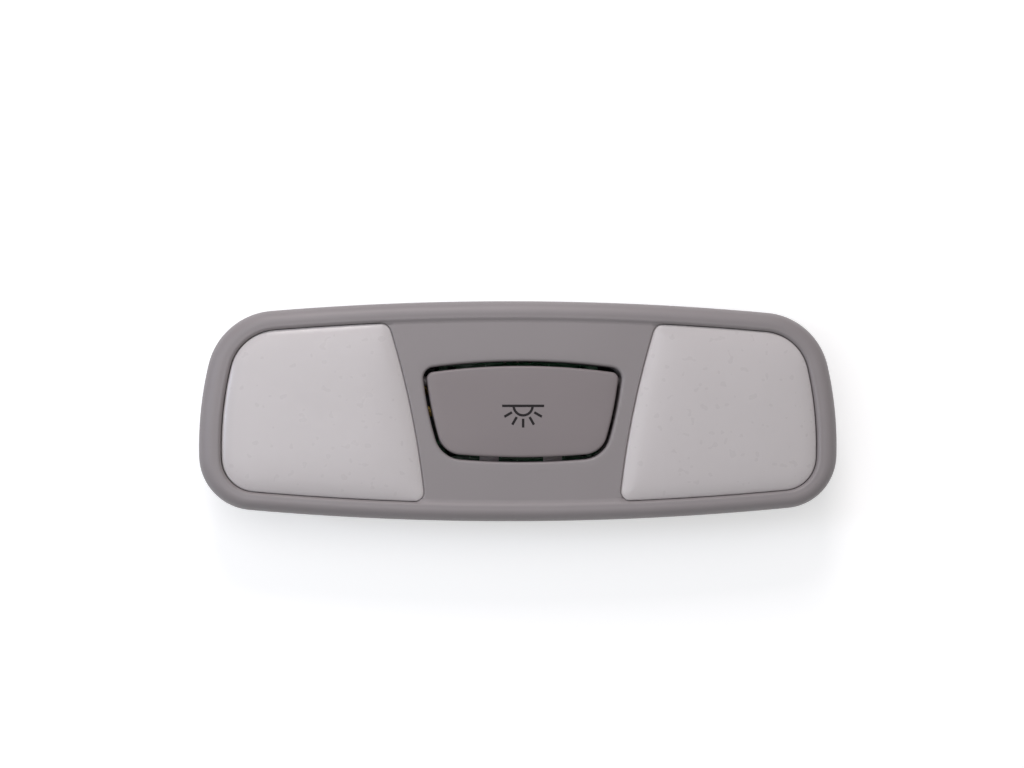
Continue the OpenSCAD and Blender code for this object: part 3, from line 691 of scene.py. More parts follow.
@dataclass(frozen=True)
class OpalAcrylic(Finish):
    """Opal acrylic diffuser, moulded in a polished tool: light sinks a little way in, and its skin is satin."""

    sink_mm: float = 1.2

    def draw(self, tree: bpy.types.NodeTree, where: bpy.types.NodeSocket, shader: bpy.types.Node) -> None:
        """Adds the milky body and a skin that isn't quite even."""
        shader.inputs["IOR"].default_value = 1.49
        shader.inputs["Subsurface Weight"].default_value = 0.3
        shader.inputs["Subsurface Radius"].default_value = (1.0, 1.0, 1.0)
        shader.inputs["Subsurface Scale"].default_value = self.sink_mm * MM
        tree.links.new(self.cloud(tree, where, 30.0, 0.012), shader.inputs["Base Color"])
        ripple = add_node(
            tree, "ShaderNodeTexNoise", {"Vector": where, "Scale": per_mm(3.0), "Detail": 1.0}
        ).outputs["Fac"]
        self.vary_gloss(tree, ripple, shader, 0.03)
        self.emboss(tree, ripple, shader, 0.002)


@dataclass(frozen=True)
class DrawnMetal(Finish):
    """Rolled, drawn or plated metal, with fine streaks along one direction from its making."""

    streak_mm: float = 0.2
    streak_depth_mm: float = 0.002
    along: tuple[float, float, float] = (0.06, 1.0, 1.0)

    def draw(self, tree: bpy.types.NodeTree, where: bpy.types.NodeSocket, shader: bpy.types.Node) -> None:
        """Adds the streaks, stretched along the metal, and faint tarnish."""
        shader.inputs["Metallic"].default_value = 1.0
        tree.links.new(self.cloud(tree, where, 6.0, 0.06), shader.inputs["Base Color"])
        stretched = add_node(tree, "ShaderNodeMapping", {"Vector": where, "Scale": self.along}).outputs["Vector"]
        streaks = add_node(
            tree, "ShaderNodeTexNoise", {"Vector": stretched, "Scale": per_mm(self.streak_mm), "Detail": 3.0}
        ).outputs["Fac"]
        self.vary_gloss(tree, streaks, shader, 0.06)
        self.emboss(tree, streaks, shader, self.streak_depth_mm)


@dataclass(frozen=True)
class CoatedBoard(Finish):
    """Glass fibre board under green solder mask, with copper tracks that show through as paler lines."""

    track: str = "#3f7d55"
    track_w_mm: float = 0.5
    track_pitch_mm: float = 2.54

    def draw(self, tree: bpy.types.NodeTree, where: bpy.types.NodeSocket, shader: bpy.types.Node) -> None:
        """Adds the tracks, slightly raised, under the glossy mask."""
        tracks = add_node(
            tree,
            "ShaderNodeTexBrick",
            {
                "Vector": where,
                "Scale": per_mm(self.track_pitch_mm),
                "Color1": linear(self.colour),
                "Color2": shaded(self.colour, -0.15),
                "Mortar": linear(self.track),
                "Mortar Size": self.track_w_mm / self.track_pitch_mm / 2.0,
                "Mortar Smooth": 0.2,
                "Brick Width": 4.0,
                "Row Height": 1.0,
            },
        )
        tree.links.new(tracks.outputs["Color"], shader.inputs["Base Color"])
        self.emboss(tree, tracks.outputs["Fac"], shader, 0.035)


@dataclass(frozen=True)
class BlownGlass(Finish):
    """Clear soda glass of a bulb, drawn thin, with slow ripples from blowing."""

    def draw(self, tree: bpy.types.NodeTree, where: bpy.types.NodeSocket, shader: bpy.types.Node) -> None:
        """Lets light through and adds the ripples."""
        shader.inputs["Base Color"].default_value = linear(self.colour)
        shader.inputs["Transmission Weight"].default_value = 1.0
        shader.inputs["IOR"].default_value = 1.52
        ripple = add_node(tree, "ShaderNodeTexNoise", {"Vector": where, "Scale": per_mm(4.0)}).outputs["Fac"]
        self.emboss(tree, ripple, shader, 0.01)


FINISHES: dict[str, Finish] = {
    "bezel_plastic": MouldedPlastic("grained_abs_warm_grey", "#8c8687", 0.46),
    "opal_lens": OpalAcrylic("opal_acrylic", "#c7c2c2", 0.3),
    "button_plastic": MouldedPlastic("satin_painted_abs_taupe", "#81797a", 0.42, grain_depth_mm=0.003),
    "housing_plastic": MouldedPlastic("polypropylene_near_black", "#232325", 0.44, 0.8, 0.012),
    "reflector_white": MouldedPlastic("gloss_polycarbonate_white", "#ecebe7", 0.18, 1.5, 0.002, 0.015),
    "bulb_glass": BlownGlass("blown_soda_glass", "#f6f8f8", 0.02),
    "plated_caps": DrawnMetal("nickel_plated_brass", "#bdb9ae", 0.24, along=(1.0, 0.1, 0.1)),
    "filament_wire": DrawnMetal("drawn_tungsten", "#6a6a6c", 0.38),
    "contact_brass": DrawnMetal("stamped_brass", "#c7a765", 0.3),
    "board_green": CoatedBoard("solder_mask_green", "#1c5a38", 0.3),
    "switch_black": MouldedPlastic("nylon_black", "#161617", 0.4, 0.6, 0.006),
    "plunger_plastic": MouldedPlastic("nylon_natural", "#d8d2c2", 0.36, 0.8, 0.004),
    "spring_steel": DrawnMetal("bright_spring_steel", "#a3a5a8", 0.26, along=(1.0, 0.06, 1.0)),
    "header_plastic": MouldedPlastic("nylon_ivory", "#dedacb", 0.38, 0.8, 0.004),
    "pin_metal": DrawnMetal("tinned_brass", "#c4bfae", 0.25, 0.1, 0.001, (1.0, 0.06, 1.0)),
    "screw_steel": DrawnMetal("zinc_plated_steel", "#a7abaf", 0.3, 0.3, 0.002, (1.0, 1.0, 0.3)),
}
INK = MouldedPlastic("printed_ink_black", "#120c0f", 0.6, 0.3, 0.001, 0.0, 1.35)


class Lamp:
    """The lamp as it is dressed: each piece is handed to its body, its nodes and its finish."""

    def __init__(self, frame: dict) -> None:
        """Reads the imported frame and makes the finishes.
        """
        record = frame["record"]
        self.nodes: dict[str, bpy.types.Object] = frame["nodes"]
        self.slot_of = {part["node"]: part["material_slot"] for part in record["subparts"]}
        bodies = record["behaviour"]["bodies"]
        self.body_of = {node: body for body, members in bodies.items() for node in members}
        self.materials = {slot: finish.build() for slot, finish in FINISHES.items()}

    def hand_over(self, piece: bpy.types.Object, node: str) -> None:
        """Lets a piece stand for a node: it moves and is finished as that node was, and the node is hidden.

        Args:
            piece: The new piece, with its place in its mesh.
            node: The node that it replaces.
        """
        slot = self.slot_of[node]
        piece.data.materials.clear()
        piece.data.materials.append(self.materials[slot])
        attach(piece, self.body_of[node])
        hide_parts(node)
        log.info("%s stands for %s with %d faces", piece.name, node, len(piece.data.polygons))

    def coat(self, node: str) -> None:
        """Gives a node its finish where its own solid is the piece that is seen."""
        materials = self.nodes[node].data.materials
        materials.clear()
        materials.append(self.materials[self.slot_of[node]])

    def copy_of(self, node: str, name: str) -> bpy.types.Object:
        """A merged copy of a node's solid, with its flat faces whole again."""
        source = self.nodes[node]
        piece = bpy.data.objects.new(name, source.data.copy())
        bpy.context.scene.collection.objects.link(piece)
        weld(piece)
        edit_all(piece, lambda: bpy.ops.mesh.dissolve_limited(angle_limit=math.radians(0.4)))
        return piece

    def round_off(self, node: str, name: str, edge_mm: float, angle: float = 38.0) -> bpy.types.Object:
        """Replaces a node with a copy of its solid whose edges are rounded, as moulding or stamping leaves them.

        Args:
            node: The node.
            name: Name of the new piece.
            edge_mm: Width of the rounding.
            angle: Least angle in degrees between two faces whose edge is rounded.

        Returns:
            The new piece.
        """
        piece = self.copy_of(node, name)
        apply_modifier(
            piece,
            "BEVEL",
            width=edge_mm * MM,
            segments=2,
            limit_method="ANGLE",
            angle_limit=math.radians(angle),
            use_clamp_overlap=True,
        )
        smooth(piece, 30.0)
        self.hand_over(piece, node)
        return piece


# Bezel


@dataclass
class Bezel:
    """Rim, centre panel, button well and skirt, moulded in one piece."""

    lip_h: float = 2.3
    lip_t: float = 1.9
    crest_share: float = 0.62
    edge_share: float = 0.8
    edge_fall: float = 0.1
    edge_drop: float = 1.4
    step_start: float = -1.0
    step_end: float = 0.6
    side_edge_w: float = 0.5
    side_edge_drop: float = 0.7
    corner_reach: float = 1.6
    lip_r: float = 0.9
    well_wall: float = 1.5
    skirt_gap: float = 0.8
    skirt_t: float = 1.6
    ease_r: float = 0.2
    trunnion_bore_r: float = 1.55
    ear_r: float = 3.2
    hinge_y: float = 9.5
    screw_x: float = 20.0
    screw_y: float = 22.4
    boss_r: float = 3.4
    pilot_r: float = 1.25
    pilot_depth: float = 8.0
    rib_t: float = 1.2
    rib_h: float = 4.0
    hook_x: float = 10.0
    hook_w: float = 6.0
    hook_top: float = 19.5
    snap_x: float = 59.85
    snap_w: float = 6.0
    snap_z: float = 15.6
    clip_w: float = 10.0
    clip_depth: float = 0.7
    clip_top: float = 18.5
    well_split: dict[int, float] = field(default_factory=lambda: {1: 0.13, 3: 0.2})
    span_steps: int = 72
    side_steps: int = 34
    corner_steps: int = 8
    window: Outline = field(default_factory=PLAN.lens)
    line: Outline = field(default_factory=lambda: PLAN.rim(1.0))

    def shoulder(self, i: int) -> list[Point]:
        """Half of a lens window's inner corner, from the window line to its middle, on long arc 1 or 3."""
        shares = [0.5 * s for s in (*even(self.corner_steps), 1.0)]
        if i == 1:
            return self.window.corner(1, shares)
        return [(-x, y) for x, y in self.window.corner(2, [1.0 - s for s in shares])]

    def seam(self, i: int) -> list[Point]:
        """Line on which the rim and the panel meet on long arc 1 or 3, between the middles of two corners."""
        x, y = self.shoulder(i)[-1]
        line = self.line.discs[i]
        arc = line.inset(line.r - line.reach(x, y))
        return arc.arc(arc.bearing(x, y), arc.bearing(-x, y), even(self.span_steps))

    @cached_property
    def spokes(self) -> list[list[float]]:
        """Shares along the four arcs at which every ring of the rim has its points."""
        shares = []
        for i in range(4):
            if i % 2:
                half = self.shoulder(i)
                start, middle = (self.line.share_of(i, *half[k]) for k in (0, -1))
                stops = (0.0, start, middle, 1.0 - middle, 1.0 - start, 1.0)
                steps = (26, self.corner_steps, self.span_steps, self.corner_steps, 26)
                shares.append([mix(a, b, s) for a, b, n in zip(stops, stops[1:], steps) for s in even(n)])
            else:
                shares.append(even(30))
        return shares

    def rim_ring(self, share: float, inset: float = 0.0) -> list[Point]:
        """Points of the rim's outline at a share of its width."""
        return PLAN.rim(share, inset).ring(self.spokes, even(22))

    def inner_ring(self) -> list[Point]:
        """Points of the rim's inner edge, along the windows and across the seams with the panel."""
        ring: list[Point] = []
        for i in range(4):
            edge = self.line.edge(i, self.spokes[i])
            if i % 2:
                half = self.shoulder(i)
                back = [(-x, y) for x, y in half[:0:-1]]
                edge = edge[:26] + half[:-1] + self.seam(i) + back + edge[-26:]
            ring += edge + self.line.corner(i, even(22))
        return ring

    def flat_z(self, share: float) -> float:
        """Height of the rim's roll and crest at a share of its width."""
        rise = LEVEL.crest - LEVEL.seat - self.lip_h
        roll = round_drop(share, self.crest_share, rise)
        return LEVEL.crest - roll - self.edge_fall * ease(share, self.crest_share, self.edge_share)

    def face_z(self, x: float, y: float, share: float) -> float:
        """Height of the bezel's face.

        Beside a window the rim rounds off into the gap. Away from the windows it steps down to the panel.

        Args:
            x: Place along the lamp.
            y: Place across it.
            share: Share of the rim's width, 1 or more on the panel.

        Returns:
            The height above the back.
        """
        beside = self.window.outside(abs(x), y)
        inside = -self.line.outside(x, y)
        rounded = self.flat_z(share) - round_drop(1.0 - share, 1.0 - self.edge_share, self.edge_drop)
        panel = LEVEL.panel - round_drop(beside, self.side_edge_w, self.side_edge_drop)
        stepped = mix(self.flat_z(share), LEVEL.panel, ease(inside, self.step_start, self.step_end))
        away = ease(beside, 0.0, self.corner_reach)
        return mix(max(rounded, panel), stepped, away) - PLAN.sag(x)

    def model_rim(self) -> bpy.types.Object:
        """Draws the rim and the skirt as one closed band."""
        turns = [math.radians(90.0 * i / 14) for i in range(15)]
        shares = [self.crest_share * (1.0 - math.cos(t)) for t in turns]
        shares += [mix(self.crest_share, self.edge_share, s) for s in (0.35, 0.7, 1.0)]
        shares += [mix(self.edge_share, 1.0, math.sin(math.radians(a))) for a in (12, 24, 36, 48, 58, 68, 78, 90)]
        rings = [lift(self.rim_ring(0.0, self.ease_r), LEVEL.seat), lift(self.rim_ring(0.0), LEVEL.seat + self.ease_r)]
        for share in shares:
            ring = self.rim_ring(share)
            rings.append(drape(ring, lambda x, y, s=share: self.face_z(x, y, s)))
        skirt_in, skirt_out = -self.skirt_gap, -self.skirt_gap - self.skirt_t
        foot = LEVEL.skirt_foot
        rings += [
            drape(self.inner_ring(), lambda x, y: self.face_z(x, y, 1.0)),
            lift(self.inner_ring(), LEVEL.panel_under),
            lift(self.rim_ring(1.0), LEVEL.panel_under),
            lift(self.rim_ring(1.0), LEVEL.window_foot),
            lift(self.rim_ring(1.0, skirt_in), LEVEL.window_foot),
            lift(self.rim_ring(1.0, skirt_in), foot + self.ease_r),
            lift(self.rim_ring(1.0, skirt_in - self.ease_r), foot),
            lift(self.rim_ring(1.0, skirt_out + self.ease_r), foot),
            lift(self.rim_ring(1.0, skirt_out), foot + self.ease_r),
            lift(self.rim_ring(1.0, skirt_out), LEVEL.groove, 1.0),
            lift(self.rim_ring(0.0, self.lip_t), LEVEL.groove, 1.0),
            lift(self.rim_ring(0.0, self.lip_t), LEVEL.seat),
        ]
        return Loft("rim", rings[0]).add(*rings[1:]).finish(looped=True)

    def panel_outline(self) -> list[Point]:
        """Edge of the centre panel, from its top right corner anticlockwise."""
        half = [0.5 * s for s in even(self.corner_steps)]
        down = self.window.corner(1, [0.5 + s for s in half]) + self.window.edge(2, even(self.side_steps))
        down += self.window.corner(2, [*half, 0.5])
        return [*self.seam(1), *((-x, y) for x, y in down[:-1]), *self.seam(3), *reversed(down[1:])]

    def well_outline(self, outset: float) -> list[Point]:
        """Edge of the button well, with its points across from those of the panel's edge."""
        well = PLAN.well(outset)
        fine = even(24)
        flank = 2 * self.corner_steps + self.side_steps
        ring: list[Point] = []
        for i, side in ((1, 2), (3, 0)):
            before, after = self.well_split[i], self.well_split[4 - i]
            ring += spaced(well.edge(i, [mix(before, 1.0 - before, s) for s in (*fine, 1.0)]), self.span_steps)
            path = well.edge(i, [mix(1.0 - before, 1.0, s) for s in fine]) + well.corner(i, fine)
            path += well.edge(side, fine) + well.corner(side, fine)
            path += well.edge(4 - i, [mix(0.0, after, s) for s in (*fine, 1.0)])
            ring += spaced(path, flank)
        return ring

    def model_panel(self) -> bpy.types.Object:
        """Draws the centre panel and the walls of the button well as one closed band."""
        outline, mouth = self.panel_outline(), self.well_outline(self.lip_r)
        rings = []
        for share in (0.0, 0.006, 0.014, 0.026, 0.042, 0.062, 0.09, 0.125, 0.17, 0.24, 0.34, 0.47, 0.63, 0.82, 1.0):
            rings.append(drape(toward(outline, mouth, share), lambda x, y: self.face_z(x, y, 1.0)))
        for turn in (15, 30, 45, 60, 75, 90):
            a = math.radians(turn)
            ring = self.well_outline(self.lip_r * (1.0 - math.sin(a)))
            rings.append(lift(ring, LEVEL.panel - self.lip_r * (1.0 - math.cos(a)), 1.0))
        wall = self.well_wall
        under = self.well_outline(wall)
        rings += [
            lift(self.well_outline(0.0), LEVEL.well_floor + self.ease_r),
            lift(self.well_outline(self.ease_r), LEVEL.well_floor),
            lift(self.well_outline(wall - self.ease_r), LEVEL.well_floor),
            lift(under, LEVEL.well_floor + self.ease_r),
            lift(under, LEVEL.panel_under - 0.5),
            lift(self.well_outline(wall + 0.5), LEVEL.panel_under),
            lift(outline, LEVEL.panel_under),
        ]
        return Loft("panel", rings[0]).add(*rings[1:]).finish(looped=True)

    def open_seam(self, piece: bpy.types.Object) -> None:
        """Deletes the wall that the rim and the panel would share where they meet."""
        line = {i: self.seam(i) for i in (1, 3)}
        arcs = {i: self.line.discs[i].inset(self.line.discs[i].r - self.line.discs[i].reach(*line[i][0])) for i in line}

        def on_seam(point: Vector) -> bool:
            """Whether a point lies on the shared wall."""
            x, y, z = (c / MM for c in point)
            i = 1 if y > 0 else 3
            beside = abs(arcs[i].reach(x, y) - arcs[i].r)
            return z > LEVEL.panel_under - 0.01 and beside < 0.005 and abs(x) < abs(line[i][0][0]) + 0.01

        activate(piece)
        bpy.ops.object.mode_set(mode="EDIT")
        bpy.ops.mesh.select_mode(type="FACE")
        bpy.ops.mesh.select_all(action="DESELECT")
        mesh = bmesh.from_edit_mesh(piece.data)
        for face in mesh.faces:
            face.select = all(on_seam(v.co) for v in face.verts)
        bmesh.update_edit_mesh(piece.data)
        bpy.ops.mesh.delete(type="FACE")
        bpy.ops.mesh.select_mode(type="VERT")
        bpy.ops.object.mode_set(mode="OBJECT")

    def supports(self) -> list[bpy.types.Object]:
        """Hinge ears, screw bosses and stiffening ribs behind the panel."""
        inner = PLAN.cap_side_x(self.hinge_y) + PLAN.cap_side_gap + 0.4
        outer = PLAN.cap_side_x(self.hinge_y) + PLAN.cap_side_gap + self.well_wall + 1.6
        parts = []
        for side in (-1, 1):
            middle = (side * (inner + outer) / 2.0, self.hinge_y, LEVEL.hinge)
            parts.append(rod(middle, self.ear_r, outer - inner, "X"))
            for y in (-self.screw_y, self.screw_y):
                low, high = LEVEL.boss_foot, LEVEL.panel_under + 0.4
                at = (side * self.screw_x, y, (low + high) / 2.0)
                parts.append(rod(at, self.boss_r - 0.1, high - low, "Z", self.boss_r + 0.1))
        low, high = LEVEL.panel_under - self.rib_h, LEVEL.panel_under + 0.4
        top = (PLAN.cap_up + PLAN.cap_end_gap + 0.6, PLAN.window_top_y(0.0, -self.skirt_gap) - 0.4)
        bottom = (PLAN.window_bottom_y(0.0, -self.skirt_gap) + 0.4, -PLAN.cap_down - PLAN.cap_end_gap - 0.6)
        for x in (-self.screw_x, 0.0, self.screw_x):
            for start, end in (top, bottom):
                parts.append(place((x - self.rib_t / 2.0, start, low), (x + self.rib_t / 2.0, end, high), 0.25))
        return parts

    def openings(self) -> list[bpy.types.Object]:
        """Bores, hook notches, snap slots and clip pockets, as shapes to cut away."""
        ear = PLAN.cap_side_x(self.hinge_y) + 6.0
        cuts = [rod((0.0, self.hinge_y, LEVEL.hinge), self.trunnion_bore_r, 2.0 * ear, "X")]
        for x in (-self.screw_x, self.screw_x):
            for y in (-self.screw_y, self.screw_y):
                cuts.append(rod((x, y, LEVEL.boss_foot + self.pilot_depth / 2.0 - 1.0), self.pilot_r, self.pilot_depth + 2.0))
        wall_y = -PLAN.cap_down - PLAN.cap_end_gap - self.well_wall - 1.0
        for x in (-self.hook_x, self.hook_x):
            half = self.hook_w / 2.0 + 0.4
            cuts.append(
                place((x - half, wall_y, LEVEL.well_floor - 1.0), (x + half, -PLAN.cap_down - 0.6, self.hook_top + 0.3))
            )
        half = self.snap_w / 2.0 + 0.3
        edges = (
            (PLAN.window_top_y(self.snap_x, 0.4), PLAN.window_top_y(self.snap_x, -self.skirt_gap - self.skirt_t - 1.0)),
            (PLAN.window_bottom_y(self.snap_x, -self.skirt_gap - self.skirt_t - 1.0), PLAN.window_bottom_y(self.snap_x, 0.4)),
        )
        for x in (-self.snap_x, self.snap_x):
            for low, high in edges:
                cuts.append(place((x - half, low, self.snap_z - 0.2), (x + half, high, self.snap_z + 1.8)))
        half = self.clip_w / 2.0 + 0.3
        near, far = PLAN.window_end_x, PLAN.window_end_x + self.skirt_gap + self.clip_depth
        for low, high in ((-far, -near), (near, far)):
            cuts.append(
                place(
                    (low, -PLAN.end_arc_drop - half, LEVEL.skirt_foot - 1.0),
                    (high, -PLAN.end_arc_drop + half, self.clip_top + 0.3),
                )
            )
        return cuts

    def build(self, lamp: Lamp) -> None:
        """Models the bezel and hands it over."""
        rim, panel = self.model_rim(), self.model_panel()
        for part in (rim, panel):
            self.open_seam(part)
        piece = join("bezel_moulding", [rim, panel])
        weld(piece)
        combine(piece, self.supports(), "UNION")
        combine(piece, self.openings(), "DIFFERENCE")
        smooth(piece, 40.0)
        lamp.hand_over(piece, "bezel")


# Lenses


@dataclass
class Lens:
    """Opal lens, a shallow crowned dish whose foot stands in the window."""

    side: Side
    gap: float = 0.14
    end_gap: float = 0.1
    side_gap: float = -0.1
    wall: float = 1.8
    crown: float = 1.4
    pillow_w: float = 5.0
    pillow_drop: float = 0.9
    edge_r: float = 0.25
    bead: float = 0.45
    rings: int = 30

    def outline(self, inset: float) -> list[Point]:
        """Points of the lens's edge, moved inwards."""
        return PLAN.lens(self.gap + inset, self.end_gap, self.side_gap).ring([even(30)] * 4, even(16))

    def face_z(self, x: float, y: float) -> float:
        """Height of the crowned face, which is lowest along its edges."""
        inner, outer = PLAN.lens_side_x(y), PLAN.window_end_x
        low, high = PLAN.window_bottom_y(x), PLAN.window_top_y(x)
        u = (2.0 * x - inner - outer) / (outer - inner)
        v = (2.0 * y - low - high) / (high - low)
        dome = self.crown * (1.0 - u**4) * (1.0 - v**4)
        inside = -PLAN.lens(self.gap, self.end_gap, self.side_gap).outside(x, y)
        return LEVEL.lens_edge + dome - round_drop(inside, self.pillow_w, self.pillow_drop) - PLAN.sag(x)

    def dome(self, edge: list[Point], down: float, shares: Iterable[float]) -> list[Ring]:
        """Rings of the face at shares of the way from an edge to its middle, so far below its surface."""
        middle = [(sum(p[0] for p in edge) / len(edge), sum(p[1] for p in edge) / len(edge))] * len(edge)
        return [drape(toward(edge, middle, s), lambda x, y: self.face_z(x, y) - down) for s in shares]

    def build(self, lamp: Lamp) -> None:
        """Models the lens and hands it over."""
        ceiling = self.dome(self.outline(self.wall), self.wall, [1.0 - s for s in even(12)] + [0.0])
        foot = LEVEL.lens_foot
        walls = [
            lift(self.outline(self.wall), foot + 0.15),
            lift(self.outline(self.wall - 0.15), foot),
            lift(self.outline(0.15), foot),
            lift(self.outline(0.0), foot + 0.15),
        ]
        turn = [math.radians(a) for a in (0, 15, 30, 45, 60, 75)]
        edge = [
            drape(
                self.outline(self.edge_r * (1.0 - math.cos(a))),
                lambda x, y, a=a: self.face_z(x, y) - self.edge_r * (1.0 - math.sin(a)),
            )
            for a in turn
        ]
        top = self.dome(self.outline(self.edge_r), 0.0, [s**1.7 for s in even(self.rings)] + [1.0])
        rings = [*ceiling, *walls, *edge, *top]
        piece = Loft(f"lens_{self.side.word}_moulding", rings[0]).add(*rings[1:]).finish()
        combine(piece, self.beads(), "UNION")
        if self.side is Side.LEFT:
            piece.data.transform(Matrix.Scale(-1.0, 4, (1.0, 0.0, 0.0)))
        weld(piece)
        smooth(piece, 40.0)
        lamp.hand_over(piece, f"lens_{self.side.word}")

    def beads(self) -> list[bpy.types.Object]:
        """Snap beads on the foot, three under the rim."""
        z = LEVEL.window_foot - 1.1
        middle = (PLAN.lens_inner_x + PLAN.window_end_x) / 2.0
        end, top, bottom = PLAN.window_end_x - self.gap, PLAN.window_top_y(middle, self.gap), PLAN.window_bottom_y(middle, self.gap)
        b = self.bead
        return [
            place((end - b, -PLAN.end_arc_drop - 6.0, z), (end + b, -PLAN.end_arc_drop + 6.0, z + 0.9), 0.2),
            place((middle - 7.0, top - b, z), (middle + 7.0, top + b, z + 0.9), 0.2),
            place((middle - 7.0, bottom - b, z), (middle + 7.0, bottom + b, z + 0.9), 0.2),
        ]


# Button


@dataclass
class PushButton:
    """Button cap with its skirt, trunnions, push post and stop hooks."""

    wall: float = 1.8
    edge_r: float = 0.8
    crown: float = 0.12
    trunnion_r: float = 1.5
    hinge_y: float = 9.5
    post_r: float = 2.4
    post_foot: float = 19.0
    plunger_y: float = -3.0
    hook_x: float = 10.0
    hook_w: float = 6.0
    hook_t: float = 1.2
    rib_t: float = 1.2

    def outline(self, inset: float) -> list[Point]:
        """Points of the cap's edge, moved inwards."""
        return PLAN.cap(inset, inset).ring([even(24), even(40), even(24), even(40)], even(14))

    def dome(self, edge: list[Point], z: float, crown: float, shares: Iterable[float]) -> list[Ring]:
        """Rings at shares of the way from an edge to the middle, rising by the crown."""
        middle = [(0.0, 0.0)] * len(edge)
        return [lift(toward(edge, middle, s), z + crown * (1.0 - (1.0 - s) ** 4)) for s in shares]

    def model_cap(self) -> bpy.types.Object:
        """Draws the cap and its skirt."""
        wall, foot = self.wall, LEVEL.cap_skirt
        ceiling = self.dome(self.outline(wall), LEVEL.cap_face - wall, 0.0, [1.0, 0.5, 0.0])
        walls = [
            lift(self.outline(wall), foot + 0.2),
            lift(self.outline(wall - 0.2), foot),
            lift(self.outline(0.2), foot),
            lift(self.outline(0.0), foot + 0.2),
        ]
        edge = [
            lift(self.outline(self.edge_r * (1.0 - math.cos(a))), LEVEL.cap_face - self.edge_r * (1.0 - math.sin(a)))
            for a in (math.radians(t) for t in (0, 15, 30, 45, 60, 75))
        ]
        top = self.dome(self.outline(self.edge_r), LEVEL.cap_face, self.crown, [*even(14), 1.0])
        rings = [*ceiling, *walls, *edge, *top]
        return Loft("button_moulding", rings[0]).add(*rings[1:]).finish()

    def fittings(self) -> list[bpy.types.Object]:
        """Trunnions, push post, cross ribs and stop hooks."""
        ear = PLAN.cap_side_x(self.hinge_y) + PLAN.cap_side_gap + 1.5 + 1.6
        root, tip = PLAN.cap_side_x(self.hinge_y) - 1.0, ear - 0.6
        ceiling = LEVEL.cap_face - self.wall / 2.0
        parts = []
        for side in (-1, 1):
            parts.append(rod((side * (root + tip) / 2.0, self.hinge_y, LEVEL.hinge), self.trunnion_r, tip - root, "X"))
            x = side * self.hook_x
            low, high = -PLAN.cap_down - PLAN.cap_end_gap - 0.7, -PLAN.cap_down + self.wall
            foot = LEVEL.cap_skirt
            parts.append(
                place((x - self.hook_w / 2.0, low, foot), (x + self.hook_w / 2.0, high, foot + self.hook_t), 0.2)
            )
        foot = self.post_foot
        parts.append(rod((0.0, self.plunger_y, foot + 0.55), 1.3, 1.1, "Z", self.post_r))
        parts.append(rod((0.0, self.plunger_y, (foot + 1.1 + ceiling) / 2.0), self.post_r, ceiling - foot - 1.1))
        reach = PLAN.cap_side_x(self.plunger_y) - self.wall / 2.0
        half, low = self.rib_t / 2.0, foot + 2.5
        parts.append(place((-reach, self.plunger_y - half, low), (reach, self.plunger_y + half, ceiling)))
        for x in (-self.hook_x - 4.0, 0.0, self.hook_x + 4.0):
            inset = self.wall / 2.0 + 1.0
            parts.append(place((x - half, -PLAN.cap_down + inset, low), (x + half, PLAN.cap_up - inset, ceiling)))
        return parts

    def build(self, lamp: Lamp) -> None:
        """Models the button and hands it over."""
        piece = self.model_cap()
        combine(piece, self.fittings(), "UNION")
        smooth(piece, 40.0)
        lamp.hand_over(piece, "button_cap")


@dataclass
class ButtonSymbol:
    """Generic sign of a ceiling light, printed on the button: a bar, a half circle under it and five rays."""

    centre_y: float = 1.67
    bar_w: float = 13.1
    stroke: float = 0.78
    bowl_r: float = 2.95
    ray_start: float = 4.0
    ray_end: float = 6.75
    film: float = 0.02
    sunk: float = 0.03

    @property
    def levels(self) -> tuple[float, float]:
        """Lowest and highest height of the print."""
        face = LEVEL.cap_face + PushButton.crown
        return face - self.sunk, face + self.film

    def ray(self, angle: float) -> bpy.types.Object:
        """One ray, turned by an angle in degrees from straight down."""
        low, high = self.levels
        half = self.stroke / 2.0
        bar = place((-half, self.centre_y - self.ray_end, low), (half, self.centre_y - self.ray_start, high))
        turn = Matrix.Rotation(math.radians(angle), 4, "Z")
        about = Matrix.Translation((0.0, self.centre_y * MM, 0.0))
        bar.data.transform(about @ turn @ about.inverted())
        return bar

    def bowl(self) -> bpy.types.Object:
        """The half circle."""
        low, high = self.levels
        at, height = (0.0, self.centre_y, (low + high) / 2.0), high - low
        ring = rod(at, self.bowl_r + self.stroke / 2.0, height)
        reach = self.bowl_r + self.stroke
        combine(
            ring,
            [
                rod(at, self.bowl_r - self.stroke / 2.0, 2.0 * height),
                place((-reach, self.centre_y, low - 1.0), (reach, self.centre_y + reach, high + 1.0)),
            ],
            "DIFFERENCE",
        )
        return ring

    def build(self) -> None:
        """Models the print and lets it ride on the button."""
        low, high = self.levels
        half = self.stroke / 2.0
        bar = place((-self.bar_w / 2.0, self.centre_y - half, low), (self.bar_w / 2.0, self.centre_y + half, high))
        combine(bar, [self.bowl()], "UNION")
        piece = join("button_symbol", [bar, *(self.ray(a) for a in (-60, -30, 0, 30, 60))])
        weld(piece, 0.001)
        piece.data.materials.clear()
        piece.data.materials.append(INK.build())
        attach(piece, Body.BUTTON.value)
        log.info("%s has %d faces", piece.name, len(piece.data.polygons))


# Pieces behind the face


